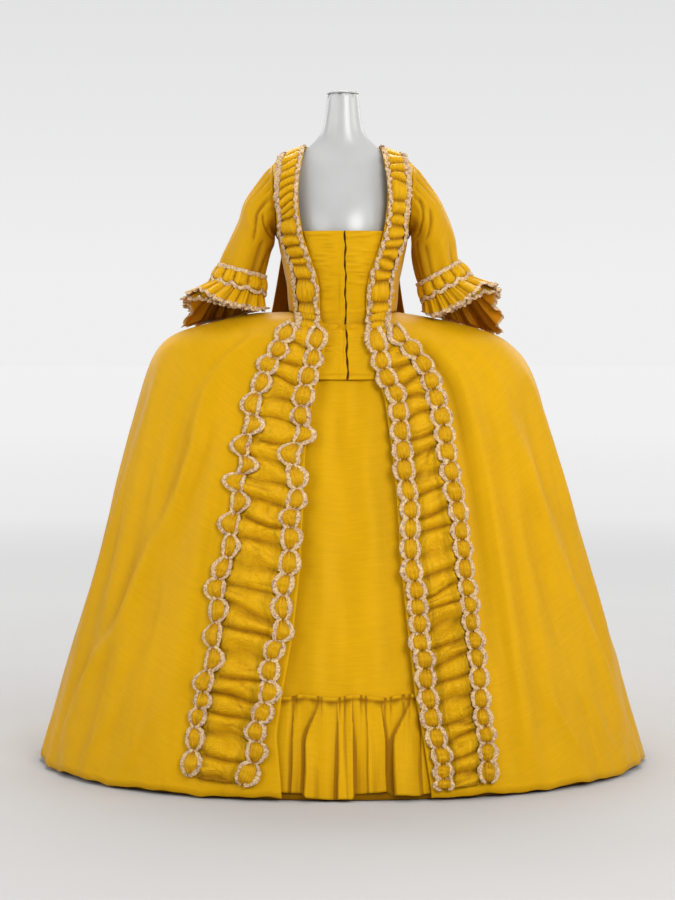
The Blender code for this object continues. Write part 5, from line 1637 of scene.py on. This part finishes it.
def robing_braids(side):
    """Wide fly fringe on the robing's outer edge and a narrower one on its inner edge."""
    line = Robing(side)
    count = len(line.rows)
    along = np.arange(count)
    tubes = []
    for edge, (past, width, curl, seed) in zip((line.outer, line.inner), ROBING_FRINGES):
        ruffle = np.sin(along * 0.83) * (0.6 + 0.4 * np.sin(along * 0.19 + seed))
        ruffle = ruffle + 0.5 * np.sin(along * 0.47 + seed)
        c = line.column(edge + past + curl * ruffle, line.widen)
        path = line.surface.at(line.rows, c, 0.0056 + 0.0018 * np.cos(along * 0.83 + 0.6))
        tilt = 0.5 * np.sin(along * 0.83 + 0.8) * np.sin(along * 0.23 + seed)
        size, deep = width * lumps(count, seed, 0.1), 0.0036 * lumps(count, 26, 0.2)
        tubes.append(tube(path, line.surface.normal(line.rows, c), size, deep, tilt=tilt))
    return tubes


# ---------------- form and stand

def smooth_copy(name, source, levels):
    """A copy of a CAD solid's surface, rounded by subdivision."""
    mesh = bpy.data.objects[source].data.copy()
    mesh.name = name
    mesh.materials.clear()
    part = link_piece(name, mesh)
    quads = {"face_threshold": math.radians(50), "shape_threshold": math.radians(60)}
    in_edit_mode(part, (bpy.ops.mesh.remove_doubles, {"threshold": 0.00002}),
                 (bpy.ops.mesh.tris_convert_to_quads, quads))
    rounding = part.modifiers.new("rounding", "SUBSURF")
    rounding.levels = rounding.render_levels = levels
    bpy.ops.object.modifier_apply(modifier="rounding")
    bpy.ops.object.shade_smooth()
    return part


def rounded_disc(name, radius, low, high, edge):
    """A cylinder with its rims rounded."""
    bpy.ops.object.select_all(action="DESELECT")
    bpy.ops.mesh.primitive_cylinder_add(vertices=96, radius=radius, depth=high - low,
                                        location=(0.0, 0.0, (low + high) / 2.0))
    part = bpy.context.object
    part.name = part.data.name = name
    bpy.ops.object.transform_apply(location=True, rotation=True, scale=True)
    rim = part.modifiers.new("rim", "BEVEL")
    rim.width = edge
    rim.segments = 3
    rim.limit_method = "ANGLE"
    bpy.ops.object.modifier_apply(modifier="rim")
    bpy.ops.object.shade_smooth_by_angle(angle=math.radians(40))
    return part


# ---------------- stage

# Lights: place, height aimed at, size, the setting of its power, its share of that, and colour.
LIGHTS = {
    "key_light": ((1.7, -3.6, 2.5), 0.62, 2.0, "key_power", 1.0, (1.0, 0.99, 0.97)),
    "left_light": ((-4.0, -1.0, 2.4), 0.6, 2.4, "side_power", 0.88, WHITE),
    "right_light": ((4.0, -1.2, 2.4), 0.6, 2.4, "side_power", 1.0, WHITE),
    "fill_light": ((-2.8, -3.0, 2.0), 0.5, 2.4, "fill_power", 1.0, (0.98, 0.99, 1.0)),
    "top_light": ((0.0, 0.4, 3.6), 0.9, 2.6, "fill_power", 1.0, WHITE),
    "high_back_light": ((0.0, 1.7, 3.2), 0.8, 2.0, "back_power", 1.0, WHITE),
    "back_left_light": ((-2.4, 2.6, 2.2), 0.7, 2.0, "fill_power", 0.5, WHITE),
    "back_right_light": ((2.4, 2.6, 2.2), 0.7, 2.0, "fill_power", 0.5, WHITE),
}
FLOOR_RADIUS = 60.0
# The floor's fade into an emitted glow of the backdrop's colour, painted light: the distance at which it
# ends, and its steps.
FADE_REACH = 16.0
FADE_STEPS = ((0.04, 0.0), (0.1, 0.3), (0.18, 0.62), (0.4, 0.92), (1.0, 1.0))
BLACK = (0.0, 0.0, 0.0, 1.0)
AIR_COLOUR = (0.96, 0.97, 1.0, 1.0)


def paper_floor(tree, shader, settings):
    """Pale matt paper: lit grey near the gown, fading farther out into an emitted glow of the backdrop's
    colour, painted light.
    """
    place = object_coordinates(tree)
    grain = node(tree, "TexNoise", {"Scale": 2.0, "Vector": place}).outputs[0]
    far = node(tree, "VectorMath", {0: place}, operation="LENGTH").outputs["Value"]
    fade = ramp(tree, math_node(tree, "DIVIDE", far, FADE_REACH),
                *((reach, (shade,) * 3) for reach, shade in FADE_STEPS))
    near, glow = [node(tree, "Mix", data_type="RGBA") for _ in range(2)]
    tone = tone_of(tree, grain, settings.floor_colour, 0.99, 1.01)
    feed(tree, near, {"Factor": fade, "A": tone, "B": BLACK})
    feed(tree, glow, {"Factor": fade, "A": BLACK, "B": (*settings.backdrop_colour, 1.0)})
    feed(tree, shader, {"Base Color": near.outputs["Result"], "Emission Color": glow.outputs["Result"],
                        "Emission Strength": 1.0, "Roughness": 0.9, "Specular IOR Level": 0.1})


def soft_light(name, place, height, size, power, colour):
    lamp = bpy.data.lights.new(name, "AREA")
    lamp.shape = "DISK"
    lamp.size = size
    lamp.energy = power
    lamp.color = colour
    light = link_piece(name, lamp)
    light.location = place
    way = np.array((0.0, 0.0, height)) - np.array(place)
    light.rotation_euler = (math.atan2(math.hypot(way[0], way[1]), -way[2]), 0.0, math.atan2(-way[0], way[1]))


def studio_air(settings):
    """Even pale surroundings: bright to look at, softer as a light."""
    world = bpy.data.worlds.new("studio_air")
    bpy.context.scene.world = world
    world.use_nodes = True
    tree = world.node_tree
    tree.nodes.clear()
    way = node(tree, "TexCoord").outputs["Generated"]
    height = node(tree, "SeparateXYZ", {0: way}).outputs["Z"]
    shade = ramp(tree, height, (0.03, settings.backdrop_colour), (0.16, settings.upper_colour))
    seen = node(tree, "Background", {"Color": shade})
    lit = node(tree, "Background", {"Color": AIR_COLOUR, "Strength": settings.air_strength})
    camera_ray = node(tree, "LightPath").outputs["Is Camera Ray"]
    both = node(tree, "MixShader", {0: camera_ray, 1: lit.outputs[0], 2: seen.outputs[0]})
    node(tree, "OutputWorld", {"Surface": both.outputs[0]})


# ---------------- settings

tint = functools.partial(FloatVectorProperty, subtype="COLOR", size=3, min=0.0, max=1.0)
length = functools.partial(FloatProperty, unit="LENGTH", min=0.001, max=0.03)
power = functools.partial(FloatProperty, unit="POWER", min=0.0, max=2000.0)


class SilkSettings(PropertyGroup):
    """Colours of the cloths."""
    colour: tint(name="Silk", description="Colour of the gown's yellow silk", default=(0.618, 0.324, 0.003))
    # Painted shade: the inner sides are the same silk, coloured darker brown as if in shadow.
    shaded_inner_colour: tint(name="Inner side", description="Colour of the silk's inner side",
                       default=(0.52, 0.2, 0.006))
    # Underlap colour: the underlap's own silk, darkened as painted shade of the closing's gap.
    underlap_and_shade_colour: tint(name="Underlap", description="Colour of the closing's underlap",
                          default=(0.1, 0.022, 0.01))
    fringe_light: tint(name="Fringe cream", description="Lightest colour of the fly fringe",
                       default=(0.84, 0.65, 0.34))
    fringe_beige: tint(name="Fringe beige", description="Middle colour of the fly fringe",
                       default=(0.72, 0.5, 0.26))
    fringe_lilac: tint(name="Fringe lilac", description="Cooler colour of the fly fringe",
                       default=(0.62, 0.44, 0.28))
    fringe_dark: tint(name="Fringe shadow", description="Darkest colour of the fly fringe",
                      default=(0.34, 0.2, 0.11))


class TrimSettings(PropertyGroup):
    """Sizes of the pinched chains and rolls."""
    puff_half_width: length(name="Puff half width", description="Half width of a chain's link at its middle",
                            default=0.015)
    pinch_half_width: length(name="Pinch half width", description="Half width of a chain where it is pinched",
                             default=0.0028)
    puff_lift: length(name="Puff height", description="How far a link stands out at its middle",
                      default=0.012)
    braid_width: length(name="Fringe width", description="Width of the fly fringe along the chains",
                        default=0.0124)
    braid_thickness: length(name="Fringe thickness", description="Thickness of the fringe", default=0.0036)
    roll_height: length(name="Roll height", description="How far the rolls between the chains stand out",
                        default=0.017)


class FormSettings(PropertyGroup):
    """Finish of the dress form and its stand."""
    colour: tint(name="Form", description="Colour of the form's glazed cover", default=(0.45, 0.455, 0.45))
    roughness: FloatProperty(name="Form roughness", description="How matt the form's cover is",
                             subtype="FACTOR", min=0.05, max=1.0, default=0.3)
    stand_colour: tint(name="Stand", description="Colour of the stand's enamel", default=(0.5, 0.5, 0.51))
    rounding: IntProperty(name="Rounding", description="Subdivision steps of the form's surface",
                          min=0, max=3, default=2)


class StageSettings(PropertyGroup):
    """Floor, lights and camera."""
    floor_colour: tint(name="Floor", description="Colour of the paper floor", default=(0.49, 0.478, 0.468))
    backdrop_colour: tint(name="Backdrop", description="Colour seen behind the gown", default=(0.868,) * 3)
    upper_colour: tint(name="Upper backdrop", description="Colour high behind the gown",
                       default=(0.765, 0.765, 0.768))
    air_strength: FloatProperty(name="Air", description="Strength of the even light from all round",
                                min=0.0, max=3.0, default=0.33)
    key_power: power(name="Key light", description="Power of the key light", default=98.0)
    side_power: power(name="Side lights", description="Power of the lights at each side", default=47.0)
    fill_power: power(name="Fill light", description="Power of the fill light", default=38.0)
    back_power: power(name="Back light", description="Power of the high light behind", default=52.0)
    lens: FloatProperty(name="Lens", description="Focal length of the camera", unit="CAMERA",
                        min=20.0, max=300.0, default=83.6)
    tilt: FloatProperty(name="Tilt", description="How far the camera looks down", subtype="ANGLE",
                        min=0.0, max=1.0, default=math.radians(3.15))


# ---------------- operators

class ROBE_OT_skirts(Operator):
    """Make the robe's skirt fronts and backs."""
    bl_idname = "robe.skirts"
    bl_label = "Skirts"

    def execute(self, context):
        for side in SIDES:
            cloth("skirt_front_" + side, skirt_front(side).grid, shade=0.4)
            cloth("skirt_back_" + side, skirt_back(side), shade=0.4)
        return {"FINISHED"}


class ROBE_OT_sack(Operator):
    """Make the sack back with its box pleats."""
    bl_idname = "robe.sack"
    bl_label = "Sack back"

    def execute(self, context):
        cloth("sack_back", sack(), inner="silk_behind", shade=0.6)
        return {"FINISHED"}


class ROBE_OT_petticoat(Operator):
    """Make the petticoat's front and back and the flounce on its front."""
    bl_idname = "robe.petticoat"
    bl_label = "Petticoat"

    def execute(self, context):
        panel = petticoat_front().grid
        shadow = np.zeros(panel.shape[:2])
        shadow[-2:] = PETTICOAT_HEM_SHADOW
        cloth("petticoat_front", panel, shade=0.4, added_shade=shadow)
        cloth("petticoat_back", petticoat_back())
        strip, slots = petticoat_flounce()
        cloth("petticoat_flounce", strip, shade=1.5, added_shade=slots)
        return {"FINISHED"}


class ROBE_OT_bodice(Operator):
    """Make the bodice's fronts and its fitted back."""
    bl_idname = "robe.bodice"
    bl_label = "Bodice"

    def execute(self, context):
        for side in SIDES:
            cloth("bodice_front_" + side, bodice_front(side).grid)
        cloth("bodice_back", refine(bodice_back_rows(), *BODICE_BACK_GRID))
        return {"FINISHED"}


class ROBE_OT_stomacher(Operator):
    """Make both halves of the stomacher and the underlap behind them."""
    bl_idname = "robe.stomacher"
    bl_label = "Stomacher"

    def execute(self, context):
        for side in SIDES:
            cloth("stomacher_" + side, stomacher(side))
        cloth("stomacher_underlap", stomacher_underlap(), "silk_underlap",
              wall=UNDERLAP_WALL)
        return {"FINISHED"}


class ROBE_OT_sleeves(Operator):
    """Make the sleeves and the ruched bands with their fringes at the elbows."""
    bl_idname = "robe.sleeves"
    bl_label = "Sleeves"

    def execute(self, context):
        for side in SIDES:
            arm, shadow = sleeve(side)
            cloth("sleeve_" + side, arm, closed=True, shade=1.5,
                  added_shade=shadow)
            strip, gathers = sleeve_band(side)
            cloth("band_" + side, strip, "silk_trim", closed=True, added_shade=gathers)
            for kind in BAND_FRINGES:
                name = "band_fringe_%s_%s" % (kind, side)
                braids(name, [band_braid(side, kind)])
        return {"FINISHED"}


class ROBE_OT_flounces(Operator):
    """Make the two flounces of each sleeve with the fringe on their edges."""
    bl_idname = "robe.flounces"
    bl_label = "Sleeve flounces"

    def execute(self, context):
        for side in SIDES:
            for kind in FLOUNCES:
                name = "sleeve_flounce_%s_%s" % (kind, side)
                strip, gathers = flounce(side, kind)
                cloth(name, strip, closed=True, inner="silk_inner",
                      added_shade=gathers)
                braids(name + "_fringe", [flounce_braid(strip)])
        return {"FINISHED"}


class ROBE_OT_robings(Operator):
    """Make the ruched robings with the fringe on both their edges."""
    bl_idname = "robe.robings"
    bl_label = "Robings"

    def execute(self, context):
        for side in SIDES:
            strip, gathers = robing(side)
            cloth("robing_" + side, strip, "silk_trim", added_shade=gathers)
            braids("robing_fringe_" + side, robing_braids(side))
        return {"FINISHED"}


class ROBE_OT_chains(Operator):
    """Make the pinched chains with their fringe, and the rolls between them."""
    bl_idname = "robe.chains"
    bl_label = "Chains and rolls"

    def execute(self, context):
        for side in SIDES:
            for line in LINES:
                name = "chain_%s_%s" % (line, side)
                strip, gathers = chain(side, line)
                cloth(name, strip, "silk_trim", shade=0.4, added_shade=gathers)
                braids(name + "_fringe", chain_braids(side, line))
            strip, gathers = rolls(side)
            cloth("rolls_" + side, strip, "silk_trim", turn=True, added_shade=gathers)
        return {"FINISHED"}


class ROBE_OT_form(Operator):
    """Make the smooth limbless form with its neck cap, and finish the stand."""
    bl_idname = "robe.form"
    bl_label = "Form and stand"

    def execute(self, context):
        torso = smooth_copy("form_torso_shell", "form_torso", context.scene.robe_form.rounding)
        low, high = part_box("form_neck_cap")
        cap = rounded_disc("form_neck_cap_disc", high[0], low[2], high[2], CAP_RIM)
        for part, solid in ((torso, "form_torso"), (cap, "form_neck_cap")):
            part.data.materials.append(material("form_glaze", form_glaze))
            sewn_on(part, solid)
        for name in ("stand_pole", "stand_base"):
            for slot in bpy.data.objects[name].material_slots:
                slot.material = material("stand_enamel", stand_enamel)
        return {"FINISHED"}


class ROBE_OT_stage(Operator):
    """Lay the pale floor and place the lights and the camera."""
    bl_idname = "robe.stage"
    bl_label = "Stage"

    def execute(self, context):
        settings = context.scene.robe_stage
        context.scene.view_settings.view_transform = "Standard"
        bpy.ops.object.select_all(action="DESELECT")
        bpy.ops.mesh.primitive_circle_add(vertices=96, radius=FLOOR_RADIUS, fill_type="NGON")
        floor = bpy.context.object
        floor.name = "paper_floor"
        floor.data.materials.append(material("paper_floor", paper_floor, settings))
        studio_air(settings)
        for name, (place, height, size, source, share, colour) in LIGHTS.items():
            soft_light(name, place, height, size, getattr(settings, source) * share, colour)
        camera = bpy.data.cameras.new("camera")
        camera.lens = settings.lens
        camera.sensor_fit = "VERTICAL"
        camera.sensor_height = 36.0
        view = link_piece("camera", camera)
        view.location = (EYE_X, -EYE_DISTANCE, EYE_Z)
        view.rotation_euler = (math.pi / 2.0 - settings.tilt, 0.0, 0.0)
        context.scene.camera = view
        return {"FINISHED"}


PIECES = (ROBE_OT_form, ROBE_OT_petticoat, ROBE_OT_skirts, ROBE_OT_sack, ROBE_OT_bodice, ROBE_OT_stomacher,
          ROBE_OT_sleeves, ROBE_OT_flounces, ROBE_OT_robings, ROBE_OT_chains, ROBE_OT_stage)
SETTINGS = {"robe_silk": SilkSettings, "robe_trim": TrimSettings, "robe_form": FormSettings,
            "robe_stage": StageSettings}


class ROBE_PT_panel(Panel):
    """Sidebar panel with every step of the gown."""
    bl_idname = "ROBE_PT_panel"
    bl_label = "Robe a la francaise"
    bl_space_type = "VIEW_3D"
    bl_region_type = "UI"
    bl_category = "Robe"

    def draw(self, context):
        for step in PIECES:
            self.layout.operator(step.bl_idname)
        for key in SETTINGS:
            group = getattr(context.scene, key)
            for name in group.bl_rna.properties.keys():
                if name not in ("rna_type", "name"):
                    self.layout.prop(group, name)


CLASSES = (*SETTINGS.values(), *PIECES, ROBE_PT_panel)


def register():
    for thing in CLASSES:
        bpy.utils.register_class(thing)
    for key, kind in SETTINGS.items():
        setattr(bpy.types.Scene, key, PointerProperty(type=kind))


def unregister():
    for key in SETTINGS:
        delattr(bpy.types.Scene, key)
    for thing in reversed(CLASSES):
        bpy.utils.unregister_class(thing)


def main():
    register()
    for step in PIECES:
        group, name = step.bl_idname.split(".")
        getattr(getattr(bpy.ops, group), name)()


if __name__ == "__main__":
    main()
